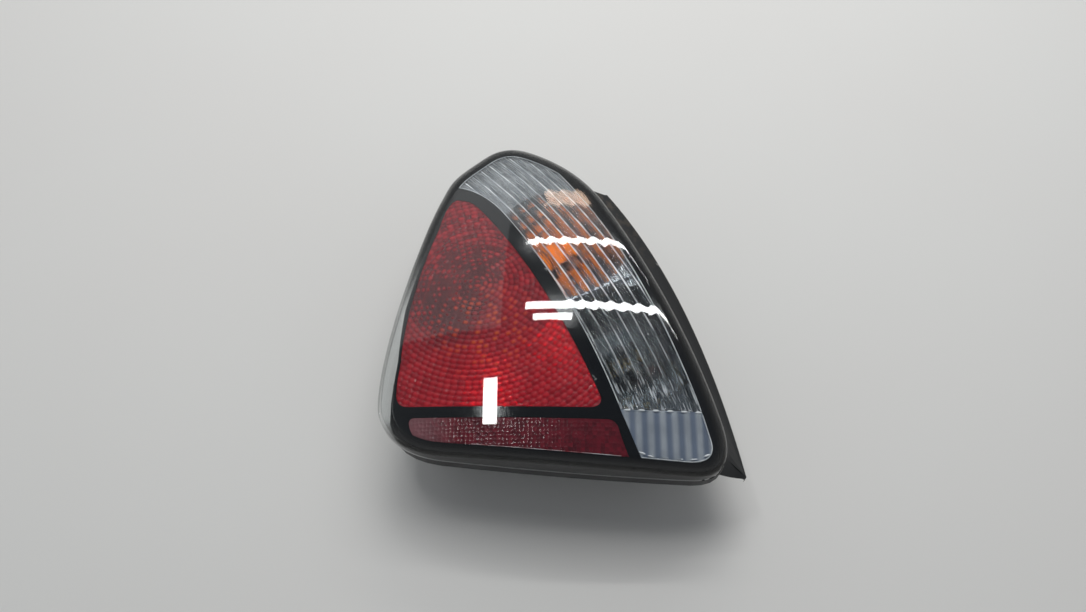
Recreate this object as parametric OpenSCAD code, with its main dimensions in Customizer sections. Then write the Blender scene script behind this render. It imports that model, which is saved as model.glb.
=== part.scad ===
// Left-hand tail light cluster, lying on its back with the lens up.
// The origin is at the middle of its bounding box, on the surface that the studs stand on.
// Plan curves are chains of quadratic arcs: start point, control point, number of steps.

/* [Lens] */
// Width of the lens across its lower end
lens_w = 314; // [290:1:330]
// Length of the lens from its upper tip to its lower edge
lens_l = 348; // [325:1:370]
// Radius of the crowned outer face
dome_r = 800; // [740:10:1200]
// Wall of the clear outer lens
lens_t = 3; // [2.5:0.1:3.4]
// Width over which the outer lens turns down at its edge
edge_w = 12; // [10:0.5:14]
// Height over which the outer lens turns down at its edge
edge_h = 11; // [10:0.5:13]
// Thickness of the bonding leg under the lens
leg_t = 2.5; // [2:0.1:3]
// Depth of the bonding leg below the rim
leg_h = 7; // [5:0.5:9]
// Extra overhang of the clear lens on the outboard side
overhang = 10; // [4:0.5:12]

/* [Heights] */
// Free length of the mounting studs below the stud bosses
stud_free = 30; // [24:1:40]
// Height from the stud bosses up to the back of the housing floor
boss_h = 11; // [9:0.5:14]
// Depth of the tub from the lens rim to the back of its floor
tub_d = 47; // [44:0.5:60]

/* [Housing] */
// Wall and floor of the housing
wall_t = 2.8; // [2.4:0.1:3.2]
// Free play round the leg in the bonding groove
groove_gap = 0.4; // [0.3:0.05:0.6]
// Side walls of the bonding groove
groove_wall = 2.2; // [1.8:0.1:2.6]
// Sealant under the leg
sealant_t = 3; // [2:0.5:4]
// How far the side flange reaches below the rim
wing_drop = 16; // [10:1:22]
// Thickness of the side flange
wing_t = 3; // [2.4:0.1:3.6]

/* [Inner lenses and bezel] */
// Air gap between the outer lens and the bezel
bezel_gap = 3; // [2.6:0.1:4]
// Thickness of the bezel and of the inner lenses
bezel_t = 2.5; // [2:0.1:3]
// Distance from the lens edge in to the bezel
bezel_in = 7.7; // [7.7:0.1:8.4]
// Thickness of the bezel skirt
skirt_t = 2; // [1.6:0.1:2.2]
// Play of an inner lens in its window
fit_gap = 0.3; // [0.2:0.05:0.4]
// Width of the hidden flange round an inner lens
flange_w = 2.4; // [1.5:0.1:3]
// Spacing of the ring prisms on the stop lens
ring_pitch = 8; // [7:0.5:12]
// Depth of the ring prisms
ring_depth = 1.1; // [0.6:0.1:1.3]
// Number of flutes across the clear strip
flute_count = 7; // [5:1:9]
// Depth of the flutes
flute_depth = 1.3; // [0.8:0.1:1.5]
// Spacing of the ribs in the lower cell
cell_pitch = 10.5; // [7:0.5:12]

/* [Reflector] */
// Wall of the metallised reflector
refl_t = 2; // [1.6:0.1:2.4]
// Focal length of the stop bowl
stop_focus = 40; // [34:1:50]
// Focal length of the turn and reverse bowls
strip_focus = 25; // [20:1:30]

/* [Bulbs and sockets] */
// Diameter of the bulb glass
glass_d = 25; // [22:0.5:26]
// Diameter of the bulb cap
cap_d = 15; // [14:0.1:15.4]
// Diameter of the barrel of a bulb holder
barrel_d = 26.8; // [24:0.2:28]
// Play of a bulb holder in its hole
barrel_gap = 0.6; // [0.4:0.1:1]
// Thickness of the rubber ring under a bulb holder
seal_t = 1.5; // [1:0.1:2.5]

/* [Mounting] */
// Diameter of the threaded studs
stud_d = 6; // [5:0.5:8]
// Diameter of the stud bosses
boss_d = 18; // [16:0.5:20]
// Width of the foam gasket
gasket_w = 10; // [8:0.5:11]
// Thickness of the foam gasket
gasket_t = 8; // [6:0.5:10]

/* [Hidden] */

$fn = 64;
$crown = 480;

// Levels
boss_z = stud_free;
floor_z = boss_z + boss_h;
rim_z = floor_z + tub_d;
floor_top = floor_z + wall_t;
leg_z = rim_z - leg_h;
groove_z = leg_z - sealant_t;
lip_top = rim_z + lens_t;
ledge_z = rim_z - 4;
sky = rim_z + 80;

// The plan was drawn at 314 by 348 and follows the lens size
plan_k = [lens_w / 314, lens_l / 348];
function plan(p) = [p[0] * plan_k[0], p[1] * plan_k[1]];
function bez(a, c, b, t) = (1 - t) * (1 - t) * a + 2 * t * (1 - t) * c + t * t * b;
function bez_dir(a, c, b, t) = (1 - t) * (c - a) + t * (b - c);
function curve(spec) = [for (i = [0:len(spec) - 1])
    let (a = plan(spec[i][0]), c = plan(spec[i][1]), b = plan(spec[(i + 1) % len(spec)][0]), n = spec[i][2])
    for (k = [0:n - 1]) bez(a, c, b, k / n)];
function headings(spec) = [for (i = [0:len(spec) - 1])
    let (a = plan(spec[i][0]), c = plan(spec[i][1]), b = plan(spec[(i + 1) % len(spec)][0]), n = spec[i][2])
    for (k = [0:n - 1]) let (d = bez_dir(a, c, b, k / n)) d / norm(d)];

// Outer edge of the lens: tip, inboard side, lower corner, lower edge, corner, outboard side
edge_spec = [
    [[-76, 161], [-55, 181], 6],
    [[-28, 166], [17, 142], 5],
    [[41, 100], [95, -1], 7],
    [[125, -86], [132, -106], 2],
    [[138, -126], [154, -177], 8],
    [[112, -176], [10, -171], 6],
    [[-105, -158], [-150, -152], 7],
    [[-161, -118], [-166, -75], 7],
    [[-131, 56], [-123, 88], 3],
    [[-113, 114], [-109, 131], 5],
    [[-92, 146], [-84, 153.5], 1]
];
edge = curve(edge_spec);
edge_dir = headings(edge_spec);
edge_n = len(edge);
inward = [for (d = edge_dir) [d[1], -d[0]]];
// The outboard side carries the overhang, fading towards the upper corner
side_fade = [for (i = [0:edge_n - 1])
    pow(max(0, inward[i][0]), 3) * min(1, max(0, (125 * plan_k[1] - edge[i][1]) / 90))];
leg_in = [for (i = [0:edge_n - 1]) lens_t + 1 + overhang * side_fade[i]];
low_fade = [for (i = [0:edge_n - 1]) side_fade[i] * min(1, max(0, (-20 - edge[i][1]) / 50))];
trim_in = [for (i = [0:edge_n - 1]) bezel_in + 6 * low_fade[i]];

// The edge moved inwards by the leg's place and d more, or by the bezel's place and d more
function leg_loop(d) = [for (i = [0:edge_n - 1]) edge[i] + inward[i] * (leg_in[i] + d)];
function trim_loop(d) = [for (i = [0:edge_n - 1]) edge[i] + inward[i] * (trim_in[i] + d)];
half_groove = leg_t / 2 + groove_gap;
groove_side = half_groove + groove_wall;

// Crown of the lens: its edge stands one turn-down and a millimetre above the rim at the tip
crown_xy = [9, -33];
tip_reach = max([for (p = edge) norm(p - crown_xy)]);
crown_top = rim_z + edge_h + 1 + dome_r - sqrt(dome_r * dome_r - tip_reach * tip_reach);
dome_c = [crown_xy[0], crown_xy[1], crown_top - dome_r];
function dome_z(p, r) = let (d = norm([p[0], p[1]] - crown_xy)) dome_c[2] + sqrt(r * r - d * d);
bezel_r = dome_r - lens_t - bezel_gap;
under_r = bezel_r - bezel_t;
flange_r = under_r - 0.2;
flange_t = 1.4;
refl_r = flange_r - flange_t - 0.3;
land_r = refl_r - 6;

// Windows of the bezel
stop_spec = [
    [[-101, 103], [-90, 104], 3],
    [[-80, 93], [-17, 12], 6],
    [[33, -108], [37, -119], 3],
    [[25, -120], [-60, -119], 1],
    [[-134, -115], [-145, -114], 3],
    [[-145, -102], [-144, -20], 6],
    [[-116, 68], [-110, 100], 4]
];
reflex_spec = [
    [[-128, -125], [-60, -128], 1],
    [[38, -130], [45, -130], 2],
    [[48, -136], [52, -150], 1],
    [[57, -163], [-20, -162], 2],
    [[-100, -158], [-114, -157], 4],
    [[-129, -139], [-136, -126], 3]
];
// The stop chamber runs on under the reflex strip
stop_zone_spec = [
    [[-101, 103], [-90, 104], 3],
    [[-80, 93], [-17, 12], 6],
    [[33, -108], [42, -126], 2],
    [[48, -140], [52, -150], 1],
    [[57, -163], [-20, -162], 2],
    [[-100, -158], [-140, -150], 3],
    [[-146, -112], [-144, -20], 6],
    [[-116, 68], [-110, 100], 4]
];
strip_spec = [
    [[-106, 121], [-110, 150], 1],
    [[-60, 190], [-20, 170], 3],
    [[16, 110], [68, 30], 7],
    [[108, -82], [120, -114], 4],
    [[127, -142], [135, -165], 6],
    [[108, -165.5], [85, -166], 1],
    [[68, -166.5], [60, -146], 1],
    [[51, -124], [11, -12], 9],
    [[-57, 86], [-80, 116], 5]
];
module window(spec) intersection() {
    polygon(curve(spec));
    polygon(trim_loop(skirt_t + 0.6));
}
module stop_window() window(stop_spec);
module reflex_window() window(reflex_spec);
module strip_window() window(strip_spec);
split_y = -121 * plan_k[1];
divide_at = plan([34, -4]);
divide_turn = 26;

// Bulbs, screws, studs and the vent in plan
stop_at = plan([-76, 14]);
turn_at = plan([0, 50]);
reverse_at = plan([58, -60]);
vent_at = plan([-20, -105]);
screw_at = [plan([-76, 74]), plan([-116, -42]), plan([-58, -72]), plan([32, 0])];
stud_at = [plan([-112, -108]), plan([92, -130]), plan([-50, 120])];
bowl_floor = floor_top + 6;

// Plain shapes

module column(pts, z0, z1) translate([0, 0, z0]) linear_extrude(z1 - z0) polygon(pts);

module loop_wall(outer, inner, z0, z1) translate([0, 0, z0]) linear_extrude(z1 - z0)
    difference() {
        polygon(outer);
        polygon(inner);
    }

module dome(r) translate(dome_c) sphere(r = r, $fn = $crown);

module slab(r, t) difference() {
    intersection() {
        dome(r);
        translate([0, 0, rim_z - 2]) linear_extrude(sky - rim_z) children();
    }
    dome(r - t);
}

module rod(at, d, z0, z1) translate([at[0], at[1], z0]) cylinder(d = d, h = z1 - z0);

// Joins closed rings of n points, with a point at each end
function ring_faces(rings, n) = concat(
    [for (i = [0:n - 1]) [0, 1 + (i + 1) % n, 1 + i]],
    [for (r = [0:rings - 2], i = [0:n - 1]) let (a = 1 + r * n + i, b = 1 + r * n + (i + 1) % n)
        each [[a, b, b + n], [a, b + n, a + n]]],
    [for (i = [0:n - 1]) [1 + rings * n, 1 + (rings - 1) * n + i, 1 + (rings - 1) * n + (i + 1) % n]]);

module ring_loft(first, rings, last) polyhedron(
    points = concat([first], [for (ring = rings) each ring], [last]),
    faces = ring_faces(len(rings), len(rings[0])), convexity = 6);

function at_z(loop, z) = [for (p = loop) [p[0], p[1], z]];

// Outer lens

function crown_ring(s, r) = [for (i = [0:edge_n - 1])
    let (q = edge[i] + inward[i] * edge_w, p = crown_xy + (q - crown_xy) * s) [p[0], p[1], dome_z(p, r)]];
function turn_ring(a, start, r, drop) = [for (i = [0:edge_n - 1])
    let (p = edge[i] + inward[i] * (start + (edge_w - start) * (1 - cos(a))))
    [p[0], p[1], dome_z(p, r) - drop * (1 - sin(a))]];

module outer_lens() color("white", 0.25) {
    inner_r = dome_r - lens_t;
    spread = [0.2, 0.4, 0.6, 0.8, 1];
    turn = [66, 44, 22, 0];
    ring_loft(
        [crown_xy[0], crown_xy[1], crown_top],
        concat(
            [for (s = spread) crown_ring(s, dome_r)],
            [for (a = turn) turn_ring(a, 0, dome_r, edge_h)],
            [at_z(edge, rim_z), at_z(leg_loop(-leg_t / 2), rim_z), at_z(leg_loop(-leg_t / 2), leg_z),
                at_z(leg_loop(leg_t / 2), leg_z), at_z(leg_loop(leg_t / 2), lip_top),
                at_z([for (i = [0:edge_n - 1]) edge[i] + inward[i] * lens_t], lip_top)],
            [for (i = [3, 2, 1, 0]) turn_ring(turn[i], lens_t, inner_r, edge_h - 2 * lens_t)],
            [for (i = [4, 3, 2, 1, 0]) crown_ring(spread[i], inner_r)]),
        [crown_xy[0], crown_xy[1], crown_top - lens_t]);
}

module lens_sealant() color("dimgray")
    loop_wall(leg_loop(-half_groove), leg_loop(half_groove), groove_z, leg_z);

// Housing

groove_base = groove_z - wall_t;
ledge_w = 3;
pad_in = 12;
pad_h = 5;
wing_first = 8;
wing_last = 22;
wing_top_y = (edge[wing_first][1] + edge[wing_first + 1][1]) / 2;
wing_low_y = (edge[wing_last][1] + edge[wing_last + 1][1]) / 2;

module tub() {
    top = groove_base + 1;
    ring_loft(
        [crown_xy[0], crown_xy[1], floor_z],
        [at_z(leg_loop(10), floor_z), at_z(leg_loop(7), floor_z + 3), at_z(leg_loop(-1.4), top),
            at_z(leg_loop(-1.4 + wall_t), top), at_z(leg_loop(7 + wall_t), floor_top + 3),
            at_z(leg_loop(10 + wall_t), floor_top)],
        [crown_xy[0], crown_xy[1], floor_top]);
}

module groove() {
    difference() {
        loop_wall(leg_loop(-groove_side), leg_loop(groove_side), groove_base, rim_z);
        loop_wall(leg_loop(-half_groove), leg_loop(half_groove), groove_z, rim_z + 1);
        column(leg_loop(half_groove - 0.01), rim_z - 1, rim_z + 1);
    }
    loop_wall(leg_loop(groove_side - 1), leg_loop(groove_side + ledge_w), groove_base, ledge_z);
}

// Side flange: a folded strip along the inboard side, from under the lens edge out and down
wing_spec = [[48, 131], [123, 18], [162, -167]];
function wing_share(y) = (wing_top_y - y) / (wing_top_y - wing_low_y);
function wing_outer(t) = bez(plan(wing_spec[0]), plan(wing_spec[1]), plan(wing_spec[2]), t);

module wing() {
    n = wing_last - wing_first;
    lip = 9;
    sections = [for (k = [0:n])
        let (i = wing_first + k, m = (edge[i] + edge[i + 1]) / 2, o = wing_outer(wing_share(m[1])),
            a = m + inward[i] * 1.2,
            u = (a - o) / norm(a - o), b = o + u * wing_t)
        [[a[0], a[1], rim_z - 1], [o[0], o[1], rim_z - wing_drop], [o[0], o[1], rim_z - wing_drop - lip],
            [b[0], b[1], rim_z - wing_drop - lip], [b[0], b[1], rim_z - wing_drop - wing_t],
            [a[0], a[1], rim_z - 1 - wing_t]]];
    m = len(sections[0]);
    end_cap = [[0, 1, 4], [0, 4, 5], [1, 2, 3], [1, 3, 4]];
    polyhedron(
        points = [for (s = sections) each s],
        faces = concat(
            [for (t = end_cap) [t[2], t[1], t[0]]],
            [for (k = [0:n - 1], j = [0:m - 1])
                let (a = k * m + j, b = k * m + (j + 1) % m) each [[a, b + m, a + m], [a, b, b + m]]],
            [for (t = end_cap) [n * m + t[0], n * m + t[1], n * m + t[2]]]),
        convexity = 4);
}

lug_r = barrel_d / 2 + 2.8;
lug_angle = 26;
lug_t = 2;
notch_slack = 4;

module wedge(r, angle, z0, z1) for (a = [0, 120, 240])
    rotate([0, 0, a - angle / 2]) translate([0, 0, z0])
        rotate_extrude(angle = angle) square([r, z1 - z0]);

module socket_hole(at) {
    rod(at, barrel_d + 2 * barrel_gap, floor_z - 1, floor_top + 1);
    translate([at[0], at[1], 0])
        wedge(lug_r + barrel_gap, lug_angle + notch_slack, floor_z - 1, floor_top + 1);
}

stud_head_d = 11;
stud_head_t = 4;
shank_d = stud_d - 0.6;
thread_h = stud_free - 1;
stud_gap = 0.1;
screw_d = 3.5;
screw_head_d = 8;
screw_head_t = 2.5;
vent_tube_d = 10;
vent_bore_d = 5;
vent_tube_h = 6;
rib_t = 2;
rib_h = 4;

module rib(a, b) translate([0, 0, floor_z - rib_h]) linear_extrude(rib_h + 1)
    polygon([a + side(a, b), b + side(a, b), b - side(a, b), a - side(a, b)]);
function side(a, b) = let (d = b - a) [-d[1], d[0]] / norm(d) * rib_t / 2;

// A ring on the back of the floor, d inside the leg's line and w wide
module seat_ring(d, w, z0, z1) translate([0, 0, z0]) linear_extrude(z1 - z0) difference() {
    offset(delta = 8 - d) polygon(leg_loop(8));
    offset(delta = 8 - d - w) polygon(leg_loop(8));
}

module housing() color("#17181a") {
    difference() {
        union() {
            tub();
            groove();
            wing();
            seat_ring(pad_in, gasket_w + 2, floor_z - pad_h, floor_z + 0.5);
            for (at = stud_at) rod(at, boss_d, boss_z, floor_z + 1);
            for (at = [stop_at, turn_at, reverse_at]) rod(at, barrel_d + 18, floor_z - 1.5, floor_z + 1);
            rod(vent_at, vent_tube_d, floor_z - vent_tube_h, floor_z + 1);
            rib(stud_at[0], stop_at);
            rib(stud_at[0], plan([-30, -112]));
            rib(plan([-8, -110]), stud_at[1]);
            rib(stud_at[1], reverse_at);
            rib(reverse_at, stop_at);
            rib(stop_at, turn_at);
            rib(turn_at, reverse_at);
            rib(turn_at, stud_at[2]);
            rib(stop_at, stud_at[2]);
        }
        for (at = [stop_at, turn_at, reverse_at]) {
            socket_hole(at);
            rod(at, 2 * lug_r + 3, floor_z - rib_h - 1, floor_z);
        }
        for (at = stud_at) {
            rod(at, shank_d + 2 * stud_gap, boss_z - 1, floor_z);
            translate([at[0], at[1], floor_z - stud_head_t - 1])
                cylinder(d = stud_head_d + 2 * stud_gap, h = stud_head_t, $fn = 6);
        }
        for (at = screw_at) {
            rod(at, screw_head_d + 4, floor_z - rib_h - 1, floor_z);
            rod(at, screw_d + 0.6, floor_z - 1, floor_top + 1);
        }
        rod(vent_at, vent_bore_d, floor_z - vent_tube_h - 1, floor_top + 1);
    }
}

module body_gasket() color("#2b2b2b")
    seat_ring(pad_in + 1, gasket_w, floor_z - pad_h - gasket_t, floor_z - pad_h);

module mounting_studs() color("silver") for (at = stud_at) {
    rod(at, stud_d, 0, thread_h);
    rod(at, shank_d, thread_h - 1, floor_z - 1 - stud_head_t / 2);
    translate([at[0], at[1], floor_z - 1 - stud_head_t])
        cylinder(d = stud_head_d, h = stud_head_t, $fn = 6);
}

// Bezel

module split_zone(above) {
    big = 2 * lens_l;
    translate([-big / 2, above ? split_y + fit_gap : split_y - fit_gap - big]) square(big);
}

module bezel() color("#0d0e10") difference() {
    union() {
        slab(bezel_r, bezel_t) polygon(trim_loop(0));
        intersection() {
            dome(bezel_r - bezel_t / 2);
            union() {
                loop_wall(trim_loop(0), trim_loop(skirt_t), lip_top + 1, sky);
                intersection() {
                    loop_wall(trim_loop(0), trim_loop(skirt_t), ledge_z, lip_top + 2);
                    column(leg_loop(groove_side + 0.1), ledge_z - 1, lip_top + 3);
                }
            }
        }
    }
    translate([0, 0, rim_z]) linear_extrude(sky - rim_z) {
        stop_window();
        reflex_window();
        strip_window();
    }
}

// Inner lenses

// The flange of an inner lens lies under the bezel, round the window
module lens_flange() slab(flange_r, flange_t) difference() {
    intersection() {
        offset(delta = flange_w) children();
        polygon(trim_loop(skirt_t + 0.3));
    }
    offset(delta = -fit_gap - 1) children();
}
module lens_plate() intersection() {
    dome(bezel_r);
    translate([0, 0, rim_z]) linear_extrude(sky - rim_z) offset(delta = -fit_gap) children();
}

// Turns its children about the middle of the crown so that their axis meets the crown over a point
module aimed(at) {
    d = at - crown_xy;
    lean = asin(norm(d) / bezel_r);
    translate(dome_c) rotate([0, 0, atan2(d[1], d[0])]) rotate([0, lean, 0]) children();
}

ring_count = ceil(215 / ring_pitch);
function polar(r, a) = [r * sin(a), r * cos(a)];

module ring_prisms() {
    step = ring_pitch / bezel_r * 180 / PI;
    base = flange_r - 0.5;
    aimed(stop_at) rotate_extrude($fn = 96) polygon(concat(
        [for (k = [0:ring_count - 1]) each [polar(base, k * step), polar(base - ring_depth, (k + 0.6) * step)]],
        [polar(base, ring_count * step), polar(bezel_r + 8, ring_count * step), polar(bezel_r + 8, 0)]));
}

module stop_lens() color("#c01824") {
    intersection() {
        lens_plate() stop_window();
        ring_prisms();
    }
    lens_flange() stop_window();
}

module reflex_reflector() color("#6d0f18") {
    difference() {
        lens_plate() reflex_window();
        dome(flange_r - 0.6);
    }
    lens_flange() reflex_window();
}

// The flutes follow the strip: rings about an axis that leans out over the outboard side
flute_lean = 45;
flute_swing = 207.5;
strip_turn = 45.3;
strip_span = 8.6;

module flutes() {
    base = flange_r - 0.5;
    steps = 4;
    n = (flute_count + 4) * steps;
    pitch = strip_span / (flute_count + 4);
    translate(dome_c) rotate([0, 0, flute_swing]) rotate([0, flute_lean, 0])
        rotate_extrude($fn = 720) polygon(concat(
        [for (k = [0:n]) let (a = strip_turn - 1.4 + k / steps * pitch, s = (k % steps) / steps)
            polar(base - flute_depth * (1 - pow(2 * s - 1, 2)), a)],
        [polar(bezel_r + 8, strip_turn - 1.4 + strip_span), polar(bezel_r + 8, strip_turn - 1.4)]));
}

module upper_window() intersection() {
    strip_window();
    split_zone(true);
}
module lower_window() intersection() {
    strip_window();
    split_zone(false);
}

// Along the shared edge the two lenses only meet, so their flanges stop there
module part_flange(above) slab(flange_r, flange_t) difference() {
    intersection() {
        offset(delta = flange_w) strip_window();
        polygon(trim_loop(skirt_t + 0.3));
        split_zone(above);
    }
    offset(delta = -fit_gap - 1) strip_window();
}

module flute_lens() color("white", 0.5) {
    intersection() {
        lens_plate() upper_window();
        flutes();
    }
    part_flange(true);
}

module lower_cell_lens() color("lightsteelblue", 0.6) {
    difference() {
        lens_plate() lower_window();
        dome(flange_r - 0.6);
    }
    part_flange(false);
    rib_n = floor(84 * plan_k[0] / cell_pitch);
    slab(flange_r, flange_t + 0.9) intersection() {
        offset(delta = -fit_gap - 1.5) lower_window();
        translate([plan([54, 0])[0], 0]) for (k = [0:rib_n - 1])
            translate([k * cell_pitch, split_y - 60]) square([cell_pitch / 2, 59]);
    }
}

// Reflector

// A bowl: a thin paraboloid about its bulb
module bowl(c, f) translate([c[0], c[1], bowl_floor]) rotate_extrude($fn = 120) {
    steps = 8;
    reach = 2 * sqrt(f * (crown_top - bowl_floor));
    polygon(concat(
        [for (k = [0:steps]) let (r = reach * k / steps) [r, r * r / (4 * f)]],
        [for (k = [steps:-1:0]) let (r = reach * k / steps) [r, r * r / (4 * f) - refl_t - k * 0.15]]));
}

module body_zone() polygon(leg_loop(groove_side + ledge_w + 0.5));
module stop_zone() intersection() {
    offset(delta = refl_t) polygon(curve(stop_zone_spec));
    body_zone();
}
module strip_zone() intersection() {
    offset(delta = refl_t) strip_window();
    body_zone();
}
// The strip has two chambers, one each side of a wall across it
module strip_half(side) translate(divide_at) rotate(divide_turn)
    translate([-lens_w, side > 0 ? -refl_t / 2 : -2 * lens_l + refl_t / 2]) square([2 * lens_w, 2 * lens_l]);
module turn_zone() intersection() {
    strip_zone();
    strip_half(1);
}
module reverse_zone() intersection() {
    strip_zone();
    strip_half(-1);
}

// A chamber: its bowl, a land near the lens beyond the bowl's rim, and walls round its outline
module chamber(c, f, land_in) {
    intersection() {
        bowl(c, f);
        translate([0, 0, floor_top]) linear_extrude(sky - floor_top) children();
        dome(land_r - 0.4);
    }
    slab(land_r, refl_t) difference() {
        children();
        translate(c) circle(r = land_in);
    }
    intersection() {
        translate([0, 0, wall_foot]) linear_extrude(sky - wall_foot) difference() {
            children();
            offset(delta = -refl_t) children();
        }
        dome(refl_r - 0.3);
    }
}

bulb_hole_d = 2 * lug_r + 2.5;
screw_boss_d = 9;
wall_foot = bowl_floor + 7;
stop_land = 82;
strip_land = 62;
function bowl_z(c, f, p) = bowl_floor + pow(norm(p - c), 2) / (4 * f);
screw_top = [bowl_z(stop_at, stop_focus, screw_at[0]), bowl_z(stop_at, stop_focus, screw_at[1]),
    bowl_z(stop_at, stop_focus, screw_at[2]), bowl_z(turn_at, strip_focus, screw_at[3])];

module reflector() color("#c9ccd0") {
    $crown = 150;
    difference() {
        union() {
            chamber(stop_at, stop_focus, stop_land) stop_zone();
            chamber(turn_at, strip_focus, strip_land) turn_zone();
            chamber(reverse_at, strip_focus, strip_land) reverse_zone();
            slab(refl_r, refl_t) difference() {
                body_zone();
                offset(delta = -refl_t) stop_zone();
                offset(delta = -refl_t) turn_zone();
                offset(delta = -refl_t) reverse_zone();
            }
            for (k = [0:len(screw_at) - 1])
                rod(screw_at[k], screw_boss_d, floor_top, screw_top[k] - 1.5 * refl_t - 0.6);
        }
        for (at = [stop_at, turn_at, reverse_at]) rod(at, bulb_hole_d, floor_top, bowl_floor + 8);
        for (at = screw_at) rod(at, screw_d + stud_gap, floor_top - 1, floor_top + 12);
    }
}

module reflector_screws() color("goldenrod") for (at = screw_at) {
    rod(at, screw_head_d, floor_z - screw_head_t, floor_z);
    rod(at, screw_d, floor_z - 0.5, floor_top + 10);
}

// Vent

module vent_cap() color("#222326") translate([vent_at[0], vent_at[1], floor_z - vent_tube_h - 0.5]) difference() {
    translate([0, 0, -2.5]) cylinder(d = 16, h = 6.5);
    cylinder(d = 12.4, h = 5);
}
module vent_membrane() color("whitesmoke") translate([vent_at[0], vent_at[1], floor_z - vent_tube_h - 0.5])
    cylinder(d = 10, h = 0.5);

// Bulb holders

seat_z = floor_top - 1;
cap_h = 15;
holder_z = floor_z - seal_t;
shroud = [22, 15];
shroud_t = 2;
shroud_z = 6;
shroud_h = 18;
blade = [0.8, 4, 11];
blade_x = 5.4;

module socket(at, twist) color("#35373b") translate([at[0], at[1], 0]) rotate([0, 0, twist]) difference() {
    union() {
        translate([0, 0, shroud_z + shroud_h - 2])
            cylinder(d = barrel_d, h = seat_z + cap_h - 3 - shroud_z - shroud_h + 2);
        translate([0, 0, holder_z - 3]) cylinder(d = 2 * lug_r + 2, h = 3);
        rotate([0, 0, 60]) wedge(lug_r, lug_angle, floor_top + 0.2, floor_top + 0.2 + lug_t);
        translate([-shroud[0] / 2, -shroud[1] / 2, shroud_z]) cube([shroud[0], shroud[1], shroud_h + 1]);
        for (a = [0, 180]) rotate([0, 0, a])
            translate([barrel_d / 2 - 1, -1.5, shroud_z + shroud_h]) cube([4.5, 3, holder_z - shroud_z - shroud_h - 1]);
    }
    translate([0, 0, seat_z]) cylinder(d = cap_d + 0.4, h = cap_h);
    translate([-shroud[0] / 2 + shroud_t, -shroud[1] / 2 + shroud_t, shroud_z - 1])
        cube([shroud[0] - 2 * shroud_t, shroud[1] - 2 * shroud_t, shroud_h - 3]);
    for (s = [-1, 1]) translate([s * blade_x - blade[0] / 2, -blade[1] / 2, shroud_z + 2])
        cube([blade[0], blade[1], blade[2] + 8]);
}

module terminals(at, twist) color("#b8a46a") translate([at[0], at[1], 0]) rotate([0, 0, twist])
    for (s = [-1, 1]) translate([s * blade_x - blade[0] / 2, -blade[1] / 2, shroud_z + 2])
        cube([blade[0], blade[1], blade[2] + 8]);

module socket_seal(at) color("#1b1b1b") translate([at[0], at[1], holder_z]) difference() {
    cylinder(d = 2 * lug_r + 1, h = seal_t);
    translate([0, 0, -1]) cylinder(d = barrel_d + 0.8, h = seal_t + 2);
}

module bulb_cap(at) color("goldenrod") rod(at, cap_d, seat_z, seat_z + cap_h);

glass_t = 0.8;
glass_z = seat_z + cap_h + 19;
neck_d = cap_d - 1.4;

module bulb_glass(at, shade) color(shade, 0.5) translate([at[0], at[1], 0]) rotate_extrude() {
    neck_a = asin(neck_d / glass_d);
    n = 14;
    inner = glass_d / 2 - glass_t;
    inner_a = asin((neck_d / 2 - glass_t) / inner);
    polygon(concat(
        [[neck_d / 2 - glass_t, seat_z + cap_h], [neck_d / 2, seat_z + cap_h]],
        [for (k = [0:n]) let (a = 180 - neck_a - k / n * (180 - neck_a))
            [glass_d / 2 * sin(a), glass_z + glass_d / 2 * cos(a)]],
        [for (k = [0:n]) let (a = k / n * (180 - inner_a)) [inner * sin(a), glass_z + inner * cos(a)]]));
}

module filament(at) color("gray") translate([at[0], at[1], 0]) {
    for (s = [-1, 1]) translate([s * 3, 0, seat_z + cap_h])
        cylinder(d = 0.8, h = glass_z - seat_z - cap_h + 0.2, $fn = 24);
    translate([-3.9, 0, glass_z - 0.6]) rotate([0, 90, 0]) cylinder(d = 1.4, h = 7.8, $fn = 24);
    translate([-4.3, 0, seat_z + cap_h + 5]) rotate([0, 90, 0]) cylinder(d = 2.4, h = 8.6, $fn = 24);
}

outer_lens();
lens_sealant();
housing();
body_gasket();
reflector();
bezel();
stop_lens();
reflex_reflector();
flute_lens();
lower_cell_lens();
reflector_screws();
mounting_studs();
vent_cap();
vent_membrane();
bulb_glass(stop_at, "white");  // stop_bulb_glass
bulb_cap(stop_at);  // stop_bulb_cap
filament(stop_at);  // stop_filament
socket(stop_at, 20);  // stop_socket
socket_seal(stop_at);  // stop_socket_seal
terminals(stop_at, 20);  // stop_terminals
bulb_glass(turn_at, "orange");  // turn_bulb_glass
bulb_cap(turn_at);  // turn_bulb_cap
filament(turn_at);  // turn_filament
socket(turn_at, 20);  // turn_socket
socket_seal(turn_at);  // turn_socket_seal
terminals(turn_at, 20);  // turn_terminals
bulb_glass(reverse_at, "white");  // reverse_bulb_glass
bulb_cap(reverse_at);  // reverse_bulb_cap
filament(reverse_at);  // reverse_filament
socket(reverse_at, 20);  // reverse_socket
socket_seal(reverse_at);  // reverse_socket_seal
terminals(reverse_at, 20);  // reverse_terminals
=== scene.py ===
import ast
import math

import bpy
import numpy as np
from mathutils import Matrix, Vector, geometry


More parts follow.
